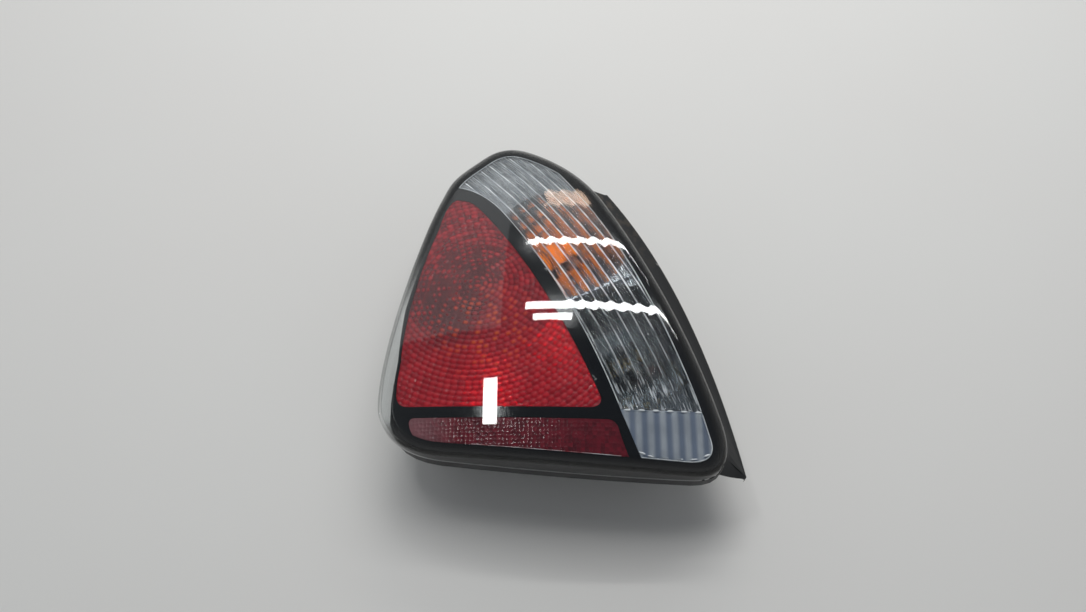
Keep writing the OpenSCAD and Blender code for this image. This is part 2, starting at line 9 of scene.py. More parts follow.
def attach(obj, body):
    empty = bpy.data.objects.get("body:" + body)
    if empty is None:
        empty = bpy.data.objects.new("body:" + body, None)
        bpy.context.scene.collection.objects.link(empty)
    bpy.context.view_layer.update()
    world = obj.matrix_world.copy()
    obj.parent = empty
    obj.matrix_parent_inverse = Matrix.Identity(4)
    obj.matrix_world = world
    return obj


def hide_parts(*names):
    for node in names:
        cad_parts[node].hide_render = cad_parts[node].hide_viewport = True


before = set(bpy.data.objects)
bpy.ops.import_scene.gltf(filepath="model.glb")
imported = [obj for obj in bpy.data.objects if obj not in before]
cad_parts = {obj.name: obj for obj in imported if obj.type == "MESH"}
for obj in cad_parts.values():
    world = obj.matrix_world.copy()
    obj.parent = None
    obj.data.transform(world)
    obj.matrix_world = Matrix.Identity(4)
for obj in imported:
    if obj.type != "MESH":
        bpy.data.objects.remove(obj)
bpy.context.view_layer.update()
mm = 0.001
scene = bpy.context.scene
scene.view_settings.view_transform = "Standard"
print("frame loaded:", len(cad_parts), "nodes")


# Colour and node helpers

def hexColour(text):
    parts = [int(text[i:i + 2], 16) / 255 for i in (1, 3, 5)]
    return tuple(p / 12.92 if p <= 0.04045 else ((p + 0.055) / 1.055) ** 2.4 for p in parts) + (1.0,)


def addNode(tree, kind, inputs=None, **settings):
    node = tree.nodes.new(kind)
    for key, value in settings.items():
        setattr(node, key, value)
    for key, value in (inputs or {}).items():
        if isinstance(value, bpy.types.NodeSocket):
            tree.links.new(value, node.inputs[key])
        else:
            node.inputs[key].default_value = value
    return node


def newMaterial(name):
    material = bpy.data.materials.new(name)
    material.use_nodes = True
    material.node_tree.nodes.clear()
    return material, material.node_tree


def objectPlace(tree, turn=0.0, shift=(0, 0, 0)):
    coords = addNode(tree, "ShaderNodeTexCoord")
    return addNode(tree, "ShaderNodeMapping", {
        "Vector": coords.outputs["Object"], "Rotation": (0, 0, turn), "Location": shift}).outputs[0]


def layered(tree, base, *layers):
    # Colours laid one over another, each with its own share
    base = hexColour(base) if isinstance(base, str) else base
    for share, colour in layers:
        base = addNode(tree, "ShaderNodeMix", {0: share, 6: base, 7: hexColour(colour)}, data_type="RGBA").outputs[2]
    return base


def formula(tree, text, **values):
    # A written formula becomes nodes: signs as in Python, and functions under the Math node's own names
    signs = {"Add": "ADD", "Sub": "SUBTRACT", "Mult": "MULTIPLY", "Div": "DIVIDE", "Pow": "POWER"}

    def build(part):
        if isinstance(part, ast.Constant):
            return float(part.value)
        if isinstance(part, ast.Name):
            return values[part.id]
        pair = isinstance(part, ast.BinOp)
        terms = [part.left, part.right] if pair else part.args
        name = signs[type(part.op).__name__] if pair else part.func.id.upper()
        return addNode(tree, "ShaderNodeMath", {i: build(t) for i, t in enumerate(terms)}, operation=name).outputs[0]
    return build(ast.parse(text).body[0].value)


def noiseBand(tree, place, sizeMm, low, high, detail=3.0):
    noise = addNode(tree, "ShaderNodeTexNoise", {"Vector": place, "Scale": 1000 / sizeMm, "Detail": detail})
    return addNode(tree, "ShaderNodeMapRange", {
        "Value": noise.outputs["Fac"], "From Min": low, "From Max": high}).outputs[0]


def moulded(name, base, other, rough, grainMm=0.8, grain=0.15, patchMm=25, metallic=0.0, coat=0.0):
    material, tree = newMaterial(name)
    place = objectPlace(tree)
    tone = noiseBand(tree, place, patchMm, 0.35, 0.65)
    fine = noiseBand(tree, place, grainMm, 0.3, 0.7)
    bump = addNode(tree, "ShaderNodeBump", {"Height": fine, "Strength": grain, "Distance": 0.0003})
    gloss = addNode(tree, "ShaderNodeMapRange", {"Value": tone, "To Min": rough, "To Max": rough * 1.25 + 0.02})
    shader = addNode(tree, "ShaderNodeBsdfPrincipled", {
        "Base Color": layered(tree, base, (tone, other)), "Roughness": gloss.outputs[0], "Normal": bump.outputs[0],
        "Metallic": metallic, "Coat Weight": coat})
    addNode(tree, "ShaderNodeOutputMaterial", {"Surface": shader.outputs[0]})
    return material


# Outline of the lamp, the same curves as the solids use, with finer steps

outline = {
    "edge": [[-76, 161, -55, 181, 24], [-28, 166, 17, 142, 24], [41, 100, 95, -1, 36], [125, -86, 132, -106, 8],
             [138, -126, 154, -177, 32], [112, -176, 10, -171, 30], [-105, -158, -150, -152, 32],
             [-161, -118, -166, -75, 32], [-131, 56, -123, 88, 12], [-113, 114, -109, 131, 20],
             [-92, 146, -84, 153.5, 6]],
    "stop": [[-101, 103, -90, 104, 10], [-80, 93, -17, 12, 24], [33, -108, 37, -119, 10], [25, -120, -60, -119, 20],
             [-134, -115, -145, -114, 12], [-145, -102, -144, -20, 24], [-116, 68, -110, 100, 16]],
    "reflex": [[-128, -125, -60, -128, 16], [38, -130, 45, -130, 8], [48, -136, 52, -150, 6],
               [57, -163, -20, -162, 20], [-100, -158, -114, -157, 12], [-129, -139, -136, -126, 12]],
    "strip": [[-106, 121, -110, 150, 6], [-60, 190, -20, 170, 12], [16, 110, 68, 30, 28], [108, -82, 120, -114, 16],
              [127, -142, 135, -165, 20], [108, -165.5, 85, -166, 6], [68, -166.5, 60, -146, 6],
              [51, -124, 11, -12, 30], [-57, 86, -80, 116, 16]],
    "splitY": -121, "crown": (9, -33), "crownTop": 129.53, "domeR": 800, "rimZ": 88, "edgeW": 12, "edgeH": 11,
    "step": 2.2,
}


def quadChain(spec):
    points = []
    for i, (ax, ay, cx, cy, steps) in enumerate(spec):
        a, c, b = np.array([ax, ay]), np.array([cx, cy]), np.array(spec[(i + 1) % len(spec)][:2])
        for k in range(steps):
            t = k / steps
            points.append((1 - t) ** 2 * a + 2 * t * (1 - t) * c + t * t * b)
    return np.array(points)


def evenLoop(points, step):
    closed = np.vstack([points, points[:1]])
    run = np.concatenate([[0], np.cumsum(np.linalg.norm(np.diff(closed, axis=0), axis=1))])
    marks = np.linspace(0, run[-1], int(run[-1] / step), endpoint=False)
    return np.column_stack([np.interp(marks, run, closed[:, i]) for i in (0, 1)])


def softened(values, spread):
    reach = int(3 * spread)
    weights = np.exp(-0.5 * (np.arange(-reach, reach + 1) / spread) ** 2)
    weights /= weights.sum()
    return sum(w * np.roll(values, k, 0) for w, k in zip(weights, range(-reach, reach + 1)))


edge = softened(evenLoop(quadChain(outline["edge"]), outline["step"]), 2.0)
heading = softened(np.roll(edge, -1, 0) - np.roll(edge, 1, 0), 1.5)
heading /= np.linalg.norm(heading, axis=1).reshape(-1, 1)
inward = np.stack([heading[:, 1], -heading[:, 0]], 1)
sideFade = np.maximum(0, inward[:, 0]) ** 3 * np.clip((125 - edge[:, 1]) / 90, 0, 1)
lowFade = sideFade * np.clip((-20 - edge[:, 1]) / 50, 0, 1)
crown = np.array(outline["crown"])
domeBase = outline["crownTop"] - outline["domeR"]


def edgeLoop(inset):
    return edge + inward * np.asarray(inset).reshape(-1, 1)


def legLoop(d):
    return edgeLoop(4 + 10 * sideFade + d)


def trimLoop(d):
    return edgeLoop(7.7 + 6 * lowFade + d)


def domeZ(points, r):
    return domeBase + np.sqrt(r * r - np.sum((points - crown) ** 2, axis=1))


def shrunk(loop, d):
    before, after = np.roll(loop, 1, 0), np.roll(loop, -1, 0)
    along = after - before
    along /= np.linalg.norm(along, axis=1).reshape(-1, 1)
    return loop + np.stack([along[:, 1], -along[:, 0]], 1) * d


def insideLoop(points, loop):
    x, y = points[:, 0][:, None], points[:, 1][:, None]
    x0, y0 = loop[:, 0], loop[:, 1]
    x1, y1 = np.roll(x0, -1), np.roll(y0, -1)
    crosses = ((y0 > y) != (y1 > y)) & (x < (x1 - x0) * (y - y0) / (y1 - y0 + 1e-12) + x0)
    return crosses.sum(1) % 2 == 1


def makeObject(name, vertices, faces, materials, slots=None, smooth=True):
    mesh = bpy.data.meshes.new(name)
    mesh.from_pydata([tuple(v) for v in np.asarray(vertices) * mm], [], [tuple(int(i) for i in f) for f in faces])
    for material in materials:
        mesh.materials.append(material)
    if slots is not None:
        mesh.polygons.foreach_set("material_index", np.asarray(slots, dtype=np.int32))
    mesh.polygons.foreach_set("use_smooth", [smooth] * len(mesh.polygons))
    mesh.update()
    piece = bpy.data.objects.new(name, mesh)
    scene.collection.objects.link(piece)
    return piece


def joined(name, parts, materials):
    vertices, faces, slots, base = [], [], [], 0
    for part in parts:
        vertices.append(np.asarray(part["vertices"]))
        faces += [[i + base for i in face] for face in part["faces"]]
        slots += list(part.get("slots", [part.get("slot", 0)] * len(part["faces"])))
        base += len(part["vertices"])
    return makeObject(name, np.concatenate(vertices), faces, materials, slots)


# Sheets on the crown: a flat outline is filled with triangles, then lifted onto the dome

def crownSheet(keepIn, keepOut, samples, r):
    loops = [np.asarray(loop) for loop in keepIn + keepOut]
    points, edges = [], []
    for loop in loops:
        base = len(points)
        points += [Vector(p) for p in loop]
        edges += [(base + i, base + (i + 1) % len(loop)) for i in range(len(loop))]
    near = np.ones(len(samples), bool)
    for loop in keepIn:
        near &= insideLoop(samples, shrunk(np.asarray(loop), 0.25))
    for loop in keepOut:
        near &= ~insideLoop(samples, np.asarray(loop))
    points += [Vector(p) for p in samples[near]]
    flat, _, triangles, *_ = geometry.delaunay_2d_cdt(points, edges, [], 0, 1e-5)
    flat = np.array([(p.x, p.y) for p in flat])
    triangles = np.array([t for t in triangles if len(t) == 3])
    middle = flat[triangles].mean(axis=1)
    keep = np.ones(len(triangles), bool)
    for loop in keepIn:
        keep &= insideLoop(middle, np.asarray(loop))
    for loop in keepOut:
        keep &= ~insideLoop(middle, np.asarray(loop))
    triangles = triangles[keep]
    used, renamed = np.unique(triangles, return_inverse=True)
    triangles = renamed.reshape(-1, 3)
    flat = flat[used]
    a, b, c = (flat[triangles[:, i]] for i in range(3))
    turn = (b[:, 0] - a[:, 0]) * (c[:, 1] - a[:, 1]) - (b[:, 1] - a[:, 1]) * (c[:, 0] - a[:, 0])
    triangles[turn < 0] = triangles[turn < 0][:, ::-1]
    vertices = np.column_stack([flat, domeZ(flat, r)])
    return {"vertices": vertices, "faces": triangles.tolist()}


def sheetWall(sheet, drop):
    count = {}
    for face in sheet["faces"]:
        for i in range(3):
            a, b = face[i], face[(i + 1) % 3]
            key = (min(a, b), max(a, b))
            count[key] = None if key in count else (a, b)
    border = [pair for pair in count.values() if pair]
    ids = sorted({i for pair in border for i in pair})
    index = {v: k for k, v in enumerate(ids)}
    top = sheet["vertices"][ids]
    low = top - np.array([0, 0, drop])
    faces = [[index[b], index[a], index[a] + len(ids), index[b] + len(ids)] for a, b in border]
    return {"vertices": np.concatenate([top, low]), "faces": faces}


def gridPoints(step, box=(-170, 165, -185, 185)):
    xs, ys = np.arange(box[0], box[1], step), np.arange(box[2], box[3], step)
    grid = np.array(np.meshgrid(xs, ys)).reshape(2, -1).T
    grid[:, 0] += (np.round(grid[:, 1] / step) % 2) * step / 2
    return grid


def ringLoft(rings, closedStart=None, closedEnd=None, slots=None):
    n = len(rings[0])
    vertices = [np.asarray(ring) for ring in rings]
    faces, marks = [], []
    for r in range(len(rings) - 1):
        for i in range(n):
            j = (i + 1) % n
            faces.append([r * n + i, r * n + j, (r + 1) * n + j, (r + 1) * n + i])
            marks.append(0 if slots is None else slots[r])
    total = len(rings) * n
    for point, ring, flip in ((closedStart, 0, True), (closedEnd, len(rings) - 1, False)):
        if point is None:
            continue
        vertices.append(np.array([point]))
        for i in range(n):
            a, b = ring * n + i, ring * n + (i + 1) % n
            faces.append([total, b, a] if flip else [total, a, b])
            marks.append(0)
        total += 1
    return {"vertices": np.concatenate(vertices), "faces": faces, "slots": marks}


def atZ(loop, z):
    return np.column_stack([loop, np.full(len(loop), float(z))])


# Geometry Nodes helpers

def newTree(name, inputs):
    tree = bpy.data.node_groups.new(name, "GeometryNodeTree")
    tree.interface.new_socket(name="Geometry", in_out="INPUT", socket_type="NodeSocketGeometry")
    for label, kind, value in inputs:
        socket = tree.interface.new_socket(name=label, in_out="INPUT", socket_type=kind)
        socket.default_value = value
    tree.interface.new_socket(name="Geometry", in_out="OUTPUT", socket_type="NodeSocketGeometry")
    return tree, tree.nodes.new("NodeGroupInput").outputs, tree.nodes.new("NodeGroupOutput")


def bake(piece, tree, values, materials):
    modifier = piece.modifiers.new("shape", "NODES")
    modifier.node_group = tree
    labels = {item.name: item.identifier for item in tree.interface.items_tree
              if item.item_type == "SOCKET" and item.in_out == "INPUT"}
    for label, value in values.items():
        modifier[labels[label]] = value
    piece.update_tag()
    depsgraph = bpy.context.evaluated_depsgraph_get()
    depsgraph.update()
    baked = bpy.data.meshes.new_from_object(piece.evaluated_get(depsgraph))
    piece.modifiers.remove(modifier)
    old = piece.data
    piece.data = baked
    bpy.data.meshes.remove(old)
    if materials:
        baked.materials.clear()
        for material in materials:
            baked.materials.append(material)
    baked.polygons.foreach_set("use_smooth", [True] * len(baked.polygons))
    return piece


def place(piece, slotName, *nodes):
    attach(piece, "root")
    if nodes:
        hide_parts(*nodes)
    return piece


# Outer lens: injection-moulded clear acrylic, so smooth that it mirrors the lamps as sharp bars

outerLens = {"ior": 1.49, "faceTint": "#fbfcfc", "rimTint": "#0d0f11", "rough": 0.012, "crownRings": 26,
             "turnRings": 12, "wall": 3, "readThroughMm": 0.009, "edgeShade": "#0b0c0d"}
fluteLens = {"lean": 45.0, "swing": 207.5, "start": 43.9, "pitch": 8.6 / 11, "depth": 2.1, "sub": 10, "along": 2.4,
             "bead": 0.45, "streakMm": 1.6, "streakLong": 22.0}


def fluteAxis():
    lean, swing = math.radians(fluteLens["lean"]), math.radians(fluteLens["swing"])
    return np.array([math.sin(lean) * math.cos(swing), math.sin(lean) * math.sin(swing), math.cos(lean)])


def fluteWave(tree, place3):
    # Height of a cosine across the flutes, only where the clear strip lies
    away = addNode(tree, "ShaderNodeVectorMath", {
        0: place3, 1: (crown[0] * mm, crown[1] * mm, domeBase * mm)}, operation="SUBTRACT").outputs[0]
    unit = addNode(tree, "ShaderNodeVectorMath", {0: away}, operation="NORMALIZE").outputs[0]
    cosine = addNode(tree, "ShaderNodeVectorMath", {0: unit, 1: tuple(fluteAxis())}, operation="DOT_PRODUCT")
    turns = formula(
        tree, "(arccosine(cosine) - start) / pitch", cosine=cosine.outputs["Value"],
        start=math.radians(fluteLens["start"]), pitch=math.radians(fluteLens["pitch"]))
    wave = formula(tree, "cosine(turns * tau)", turns=turns, tau=2 * math.pi)
    begin = addNode(tree, "ShaderNodeMapRange", {"Value": turns, "From Min": 1.6, "From Max": 2.0}).outputs[0]
    end = addNode(tree, "ShaderNodeMapRange", {"Value": turns, "From Min": 9.4, "From Max": 9.0}).outputs[0]
    return formula(tree, "wave * (begin * end)", wave=wave, begin=begin, end=end)


def clearShell(name, faceTint, rimTint, ior, rough, readThrough=0.0, dyeAndGlow=None, shade=None):
    material, tree = newMaterial(name)
    around = objectPlace(tree)
    facing = addNode(tree, "ShaderNodeLayerWeight", {"Blend": 0.5}).outputs["Facing"]
    curve = formula(tree, "facing ** 5.0", facing=facing)
    tint = layered(tree, faceTint, (curve, rimTint))
    if shade:
        # Painted shade: the turned edge is tinted dark, as if the dark moulding showed through it, except on the clear
        # overhang
        amount = addNode(tree, "ShaderNodeAttribute", attribute_name="edgeShade").outputs["Fac"]
        tint = layered(tree, tint, (formula(tree, "amount * 0.82", amount=amount), shade))
    haze = noiseBand(tree, around, 60, 0.3, 0.75)
    gloss = addNode(tree, "ShaderNodeMapRange", {"Value": haze, "To Min": rough, "To Max": rough * 1.6})
    clear = addNode(tree, "ShaderNodeBsdfTransparent", {"Color": tint})
    shine = addNode(tree, "ShaderNodeBsdfGlossy", {"Color": hexColour("#ffffff"), "Roughness": gloss.outputs[0]})
    if readThrough:
        bump = addNode(tree, "ShaderNodeBump", {
            "Height": fluteWave(tree, around), "Strength": 1.0, "Distance": readThrough * mm})
        tree.links.new(bump.outputs[0], shine.inputs["Normal"])
    body = clear.outputs[0]
    if dyeAndGlow:
        # Painted glow: the dyed glass emits its own colour, standing in for light passing through it
        dyedGlow = addNode(tree, "ShaderNodeBsdfPrincipled", {
            "Base Color": hexColour(dyeAndGlow), "Roughness": 0.2, "Emission Color": hexColour(dyeAndGlow),
            "Emission Strength": 0.5})
        body = addNode(tree, "ShaderNodeMixShader", {0: 0.7, 1: body, 2: dyedGlow.outputs[0]}).outputs[0]
    # The same share of mirror on both faces of the thin wall, rising towards a grazing view
    face = ((ior - 1) / (ior + 1)) ** 2
    share = formula(tree, "facing ** 5.0 * rest + face", facing=facing, rest=1 - face, face=face)
    mix = addNode(tree, "ShaderNodeMixShader", {0: share, 1: body, 2: shine.outputs[0]})
    addNode(tree, "ShaderNodeOutputMaterial", {"Surface": mix.outputs[0]})
    return material


# Clear acrylic, moulded against a polished tool: seen only by its mirror images and by its dark turned edge, which
# carries painted shade
clearAcrylic = clearShell("clear acrylic", outerLens["faceTint"], outerLens["rimTint"], outerLens["ior"],
                          outerLens["rough"], outerLens["readThroughMm"], shade=outerLens["edgeShade"])


def crownRing(s, r):
    q = edge + inward * outline["edgeW"]
    p = crown + (q - crown) * s
    return np.column_stack([p, domeZ(p, r)])


def turnRing(angle, start, r, drop):
    a = math.radians(angle)
    p = edgeLoop(start + (outline["edgeW"] - start) * (1 - math.cos(a)))
    return np.column_stack([p, domeZ(p, r) - drop * (1 - math.sin(a))])


crownRings, turnRings = outerLens["crownRings"], outerLens["turnRings"]
spread = [0.02 + 0.98 * k / crownRings for k in range(1, crownRings + 1)]
turn = [90 - 90 * k / turnRings for k in range(1, turnRings + 1)]
rimZ = outline["rimZ"]
faceR, backR = outline["domeR"], outline["domeR"] - outerLens["wall"]
outerSkin = [crownRing(s, faceR) for s in spread] + [turnRing(a, 0, faceR, outline["edgeH"]) for a in turn] + [
    atZ(edge, rimZ + 4), atZ(edge, rimZ + 0.4), atZ(edgeLoop(0.4), rimZ), atZ(legLoop(-1.25), rimZ),
    atZ(legLoop(-1.25), rimZ - 7), atZ(legLoop(1.25), rimZ - 7), atZ(legLoop(1.25), rimZ + 3)]
innerSkin = [atZ(edgeLoop(outerLens["wall"]), rimZ + 3)] + [
    turnRing(a, outerLens["wall"], backR, 5) for a in reversed(turn)] + [crownRing(s, backR) for s in reversed(spread)]
top = [crown[0], crown[1], outline["crownTop"]]
shell = ringLoft(outerSkin + innerSkin, top, [top[0], top[1], top[2] - outerLens["wall"]])
shell["faces"] = [face[::-1] for face in shell["faces"]]
lens = place(joined("outerLens", [shell], [clearAcrylic]), "clear_lens", "outer_lens")
# Painted shade on the outer lens: share of dark tint per point, rising over the turned edge, full on the wall, none on
# the crown or the clear overhang
fade = [k / turnRings for k in range(1, turnRings + 1)]
straight = len(outerSkin) - crownRings - turnRings + 1
ringShade = [0.0] * crownRings + fade + [1.0] * straight + fade[::-1] + [0.0] * crownRings
clearSide = np.clip(1.3 * sideFade * np.clip((60 - edge[:, 1]) / 90, 0, 1), 0, 1)
shades = np.concatenate([np.outer(ringShade, 1 - clearSide).ravel(), [0.0, 0.0]])
lens.data.attributes.new("edgeShade", "FLOAT", "POINT").data.foreach_set("value", shades)
print("outer lens made")


# Bezel: glossy black ABS plate with a window for each inner lens, and a rounded outer edge

bezelTrim = {"step": 5.0, "round": 1.8, "r": 794, "thick": 2.5, "skirtZ": 84, "skirtT": 2,
             "black": "#08090b", "black2": "#0b0c0f", "rough": 0.09}
# Gloss black ABS, moulded against a polished tool: deep black with a soft wide mirror
glossBlack = moulded("gloss black ABS", bezelTrim["black"], bezelTrim["black2"], bezelTrim["rough"],
                     grainMm=3, grain=0.02)
stopLoop, reflexLoop, stripLoop = (quadChain(outline[key]) for key in ("stop", "reflex", "strip"))
winLimit = trimLoop(2.6)


def cutLoop(loop):
    # The part of a window's loop that lies inside the bezel's own edge
    closed = crownSheet([loop, winLimit], [], np.zeros((0, 2)), bezelTrim["r"])
    wall = {}
    for face in closed["faces"]:
        for i in range(3):
            a, b = face[i], face[(i + 1) % 3]
            if (b, a) in wall:
                del wall[(b, a)]
            else:
                wall[(a, b)] = True
    follow = {a: b for a, b in wall}
    start = next(iter(follow))
    chain, at = [start], follow[start]
    while at != start and len(chain) < len(follow) + 1:
        chain.append(at)
        at = follow[at]
    points = closed["vertices"][chain][:, :2]
    keep = np.linalg.norm(points - np.roll(points, 1, 0), axis=1) > 0.05
    return points[keep][::-1]


stopWindow, reflexWindow, stripWindow = cutLoop(stopLoop), cutLoop(reflexLoop), cutLoop(stripLoop)
roundInset = bezelTrim["round"]
plate = crownSheet([trimLoop(roundInset)], [stopWindow, reflexWindow, stripWindow],
                   gridPoints(bezelTrim["step"]), bezelTrim["r"])
windowWalls = sheetWall(plate, bezelTrim["thick"])
arc = [math.radians(90 * k / 5) for k in range(6)]
skirt = [np.column_stack([trimLoop(roundInset * (1 - math.sin(a))),
                          domeZ(trimLoop(roundInset), bezelTrim["r"]) - roundInset * (1 - math.cos(a))]) for a in arc]
skirtInner = trimLoop(bezelTrim["skirtT"])
skirt += [atZ(trimLoop(0), bezelTrim["skirtZ"]), atZ(skirtInner, bezelTrim["skirtZ"]),
          np.column_stack([skirtInner, domeZ(skirtInner, bezelTrim["r"] - bezelTrim["thick"])])]
skirtPart = ringLoft(skirt)
skirtPart["faces"] = [face[::-1] for face in skirtPart["faces"]]
bezel = place(joined("bezelTrim", [plate, windowWalls, skirtPart], [glossBlack]), "black_bezel", "bezel")
print("bezel made")


# Stop and tail lens: red acrylic, its rings of pillow prisms made as a height over a fine sheet

stopLens = {"centre": (-76.0, 2.0), "pitch": 4.8, "sector": 6.4, "depth": 1.15, "saw": 0.3, "seed": 7, "sub": 6,
            "bulbShade": ((-0.104, -0.016, 0.118), 0.016, 0.056), "holeShade": ((-0.080, 0.020, 0.118), 0.004, 0.050),
            "glintSpot": ((-0.068, -0.044, 0.120), 0.010, 0.060), "root": "#30060c",
            "red": "#f01a34", "deepRed": "#9a1026", "orange": "#ff6a1c",
            "clearRed": "#ff2a34", "grey": "#43161d", "bright": "#ff4a50"}


def stopMaterial():
    # Red acrylic moulded with prisms: each pillow gets a painted highlight at its crest and painted shade at its root,
    # and differs from the next
    material, tree = newMaterial("red acrylic prisms")
    place3 = objectPlace(tree)
    tone = addNode(tree, "ShaderNodeAttribute", attribute_name="prismTone").outputs["Fac"]
    crest = addNode(tree, "ShaderNodeAttribute", attribute_name="prismCrest").outputs["Fac"]
    cloud = noiseBand(tree, place3, 45, 0.35, 0.68)
    parts = addNode(tree, "ShaderNodeSeparateXYZ", {0: place3})

    def near(point, inner, outer):
        gap = addNode(tree, "ShaderNodeVectorMath", {0: place3, 1: point}, operation="DISTANCE")
        return addNode(tree, "ShaderNodeMapRange", {
            "Value": gap.outputs["Value"], "From Min": inner, "From Max": outer, "To Min": 1.0, "To Max": 0.0},
            interpolation_type="SMOOTHSTEP").outputs[0]
    # Painted shade: a grey blur is painted where the bulb and the hole round it would show through, and painted orange
    # glints on the prisms below it
    dark = formula(
        tree, "maximum(bulb, hole)", bulb=near(*stopLens["bulbShade"]), hole=near(*stopLens["holeShade"]))
    warmth = near(*stopLens["glintSpot"])
    # Painted light: the lower part of the lens is painted a lighter red
    low = addNode(tree, "ShaderNodeMapRange", {
        "Value": parts.outputs["Y"], "From Min": 0.03, "From Max": -0.09, "To Min": 0.0, "To Max": 1.0})
    base = layered(
        tree, stopLens["deepRed"],
        (formula(tree, "tone * 0.8", tone=tone), stopLens["red"]),
        (formula(tree, "low * 0.45", low=low.outputs[0]), stopLens["red"]),
        (formula(tree, "dark * 0.8", dark=dark), stopLens["grey"]),
        # Painted shade at each pillow's root, painted highlight on its crest
        (formula(tree, "(1.0 - crest ** 0.35) * 0.55", crest=crest), stopLens["root"]),
        (formula(tree, "crest ** 2.5 * (tone * 0.55)", crest=crest, tone=tone), stopLens["bright"]),
        # Painted glints: orange on the brightest prism crests near the bulb
        (formula(tree, "greater_than(tone, 0.62) * crest ** 2.5 * warmth", crest=crest, tone=tone, warmth=warmth),
         stopLens["orange"]))
    gloss = addNode(tree, "ShaderNodeMapRange", {"Value": cloud, "To Min": 0.10, "To Max": 0.22})
    body = addNode(tree, "ShaderNodeBsdfPrincipled", {
        "Base Color": base, "Roughness": gloss.outputs[0], "IOR": 1.49, "Specular IOR Level": 0.5})
    deepLook = addNode(tree, "ShaderNodeBsdfRefraction", {
        "Color": hexColour(stopLens["clearRed"]), "Roughness": 0.05, "IOR": 1.3})
    mix = addNode(tree, "ShaderNodeMixShader", {0: 0.42, 1: body.outputs[0], 2: deepLook.outputs[0]})
    addNode(tree, "ShaderNodeOutputMaterial", {"Surface": mix.outputs[0]})
    return material


def lensEdgeMaterial(name, tint):
    # Cut edge of a moulded lens, painted as a thin bright line: a painted highlight where the edge gathers light
    material, tree = newMaterial(name)
    highlightPatches = noiseBand(tree, objectPlace(tree), 14, 0.3, 0.7)
    shader = addNode(tree, "ShaderNodeBsdfPrincipled", {
        "Base Color": layered(tree, tint, (highlightPatches, "#f4f6f8")), "Roughness": 0.18, "Specular IOR Level": 0.8})
    addNode(tree, "ShaderNodeOutputMaterial", {"Surface": shader.outputs[0]})
    return material


def prismTree():
    tree, given, out = newTree("prismRings", [
        ("Pitch", "NodeSocketFloat", 0.005), ("Sector", "NodeSocketFloat", 0.006), ("Depth", "NodeSocketFloat", 0.001),
        ("Saw", "NodeSocketFloat", 0.0004),
        ("Centre", "NodeSocketVector", (0, 0, 0)), ("Seed", "NodeSocketInt", 7)])
    here = addNode(tree, "GeometryNodeInputPosition").outputs[0]
    away = addNode(tree, "ShaderNodeVectorMath", {0: here, 1: given["Centre"]}, operation="SUBTRACT").outputs[0]
    xyz = addNode(tree, "ShaderNodeSeparateXYZ", {0: away}).outputs
    radius = formula(tree, "sqrt(x * x + y * y)", x=xyz[0], y=xyz[1])
    rings = formula(tree, "radius / pitch", radius=radius, pitch=given["Pitch"])
    ring = formula(tree, "floor(rings)", rings=rings)
    across = formula(tree, "rings - ring", rings=rings, ring=ring)
    share = formula(tree, "arctan2(y, x) / tau + 0.5", y=xyz[1], x=xyz[0], tau=2 * math.pi)
    girth = formula(
        tree, "(ring + 0.5) * (pitch * tau / sector)", ring=ring, pitch=given["Pitch"], tau=2 * math.pi,
        sector=given["Sector"])
    sectors = formula(tree, "round(girth)", girth=girth)
    around = formula(tree, "share * sectors", share=share, sectors=sectors)
    sector = formula(tree, "floor(around)", around=around)
    along = formula(tree, "around - sector", around=around, sector=sector)

    def bulge(value):
        centred = formula(tree, "value * 2.0 - 1.0", value=value)
        return formula(tree, "1.0 - centred * centred", centred=centred)
    pillow = formula(
        tree, "(bulgeAcross + bulgeAlong) * (depth * 0.5)", bulgeAcross=bulge(across), bulgeAlong=bulge(along),
        depth=given["Depth"])
    saw = formula(tree, "across * saw", across=across, saw=given["Saw"])
    height = formula(tree, "pillow - saw - depth", pillow=pillow, saw=saw, depth=given["Depth"])
    offset = addNode(tree, "ShaderNodeCombineXYZ", {2: height}).outputs[0]
    moved = addNode(tree, "GeometryNodeSetPosition", {"Geometry": given["Geometry"], "Offset": offset}).outputs[0]
    cell = formula(tree, "ring * 1000.0 + sector", ring=ring, sector=sector)
    chance = addNode(tree, "FunctionNodeRandomValue", {"ID": cell, "Seed": given["Seed"]}, data_type="FLOAT")
    noted = addNode(tree, "GeometryNodeStoreNamedAttribute", {
        "Geometry": moved, "Name": "prismTone", "Value": chance.outputs[1]}, data_type="FLOAT", domain="POINT")
    crest = formula(tree, "bulgeAcross * bulgeAlong", bulgeAcross=bulge(across), bulgeAlong=bulge(along))
    noted = addNode(tree, "GeometryNodeStoreNamedAttribute", {
        "Geometry": noted.outputs[0], "Name": "prismCrest", "Value": crest}, data_type="FLOAT", domain="POINT")
    real = addNode(tree, "GeometryNodeRealizeInstances", {0: noted.outputs[0]}).outputs[0]
    return tree, real, out


def endTree(tree, geometrySocket, out, material):
    dressed = addNode(tree, "GeometryNodeSetMaterial", {"Geometry": geometrySocket, "Material": material}).outputs[0]
    tree.links.new(dressed, out.inputs[0])
    return tree


def polarPoints(centre, pitch, sector, sub, reach):
    points = []
    for ringIndex in range(int(reach / pitch)):
        sectors = max(3, round((ringIndex + 0.5) * 2 * math.pi * pitch / sector))
        for step in range(sub):
            r = (ringIndex + (step + 0.02) / sub) * pitch
            angles = (np.arange(sectors * 6) + 0.02) / (sectors * 6) * 2 * math.pi - math.pi
            points.append(np.column_stack([centre[0] + r * np.cos(angles), centre[1] + r * np.sin(angles)]))
    return np.concatenate(points)


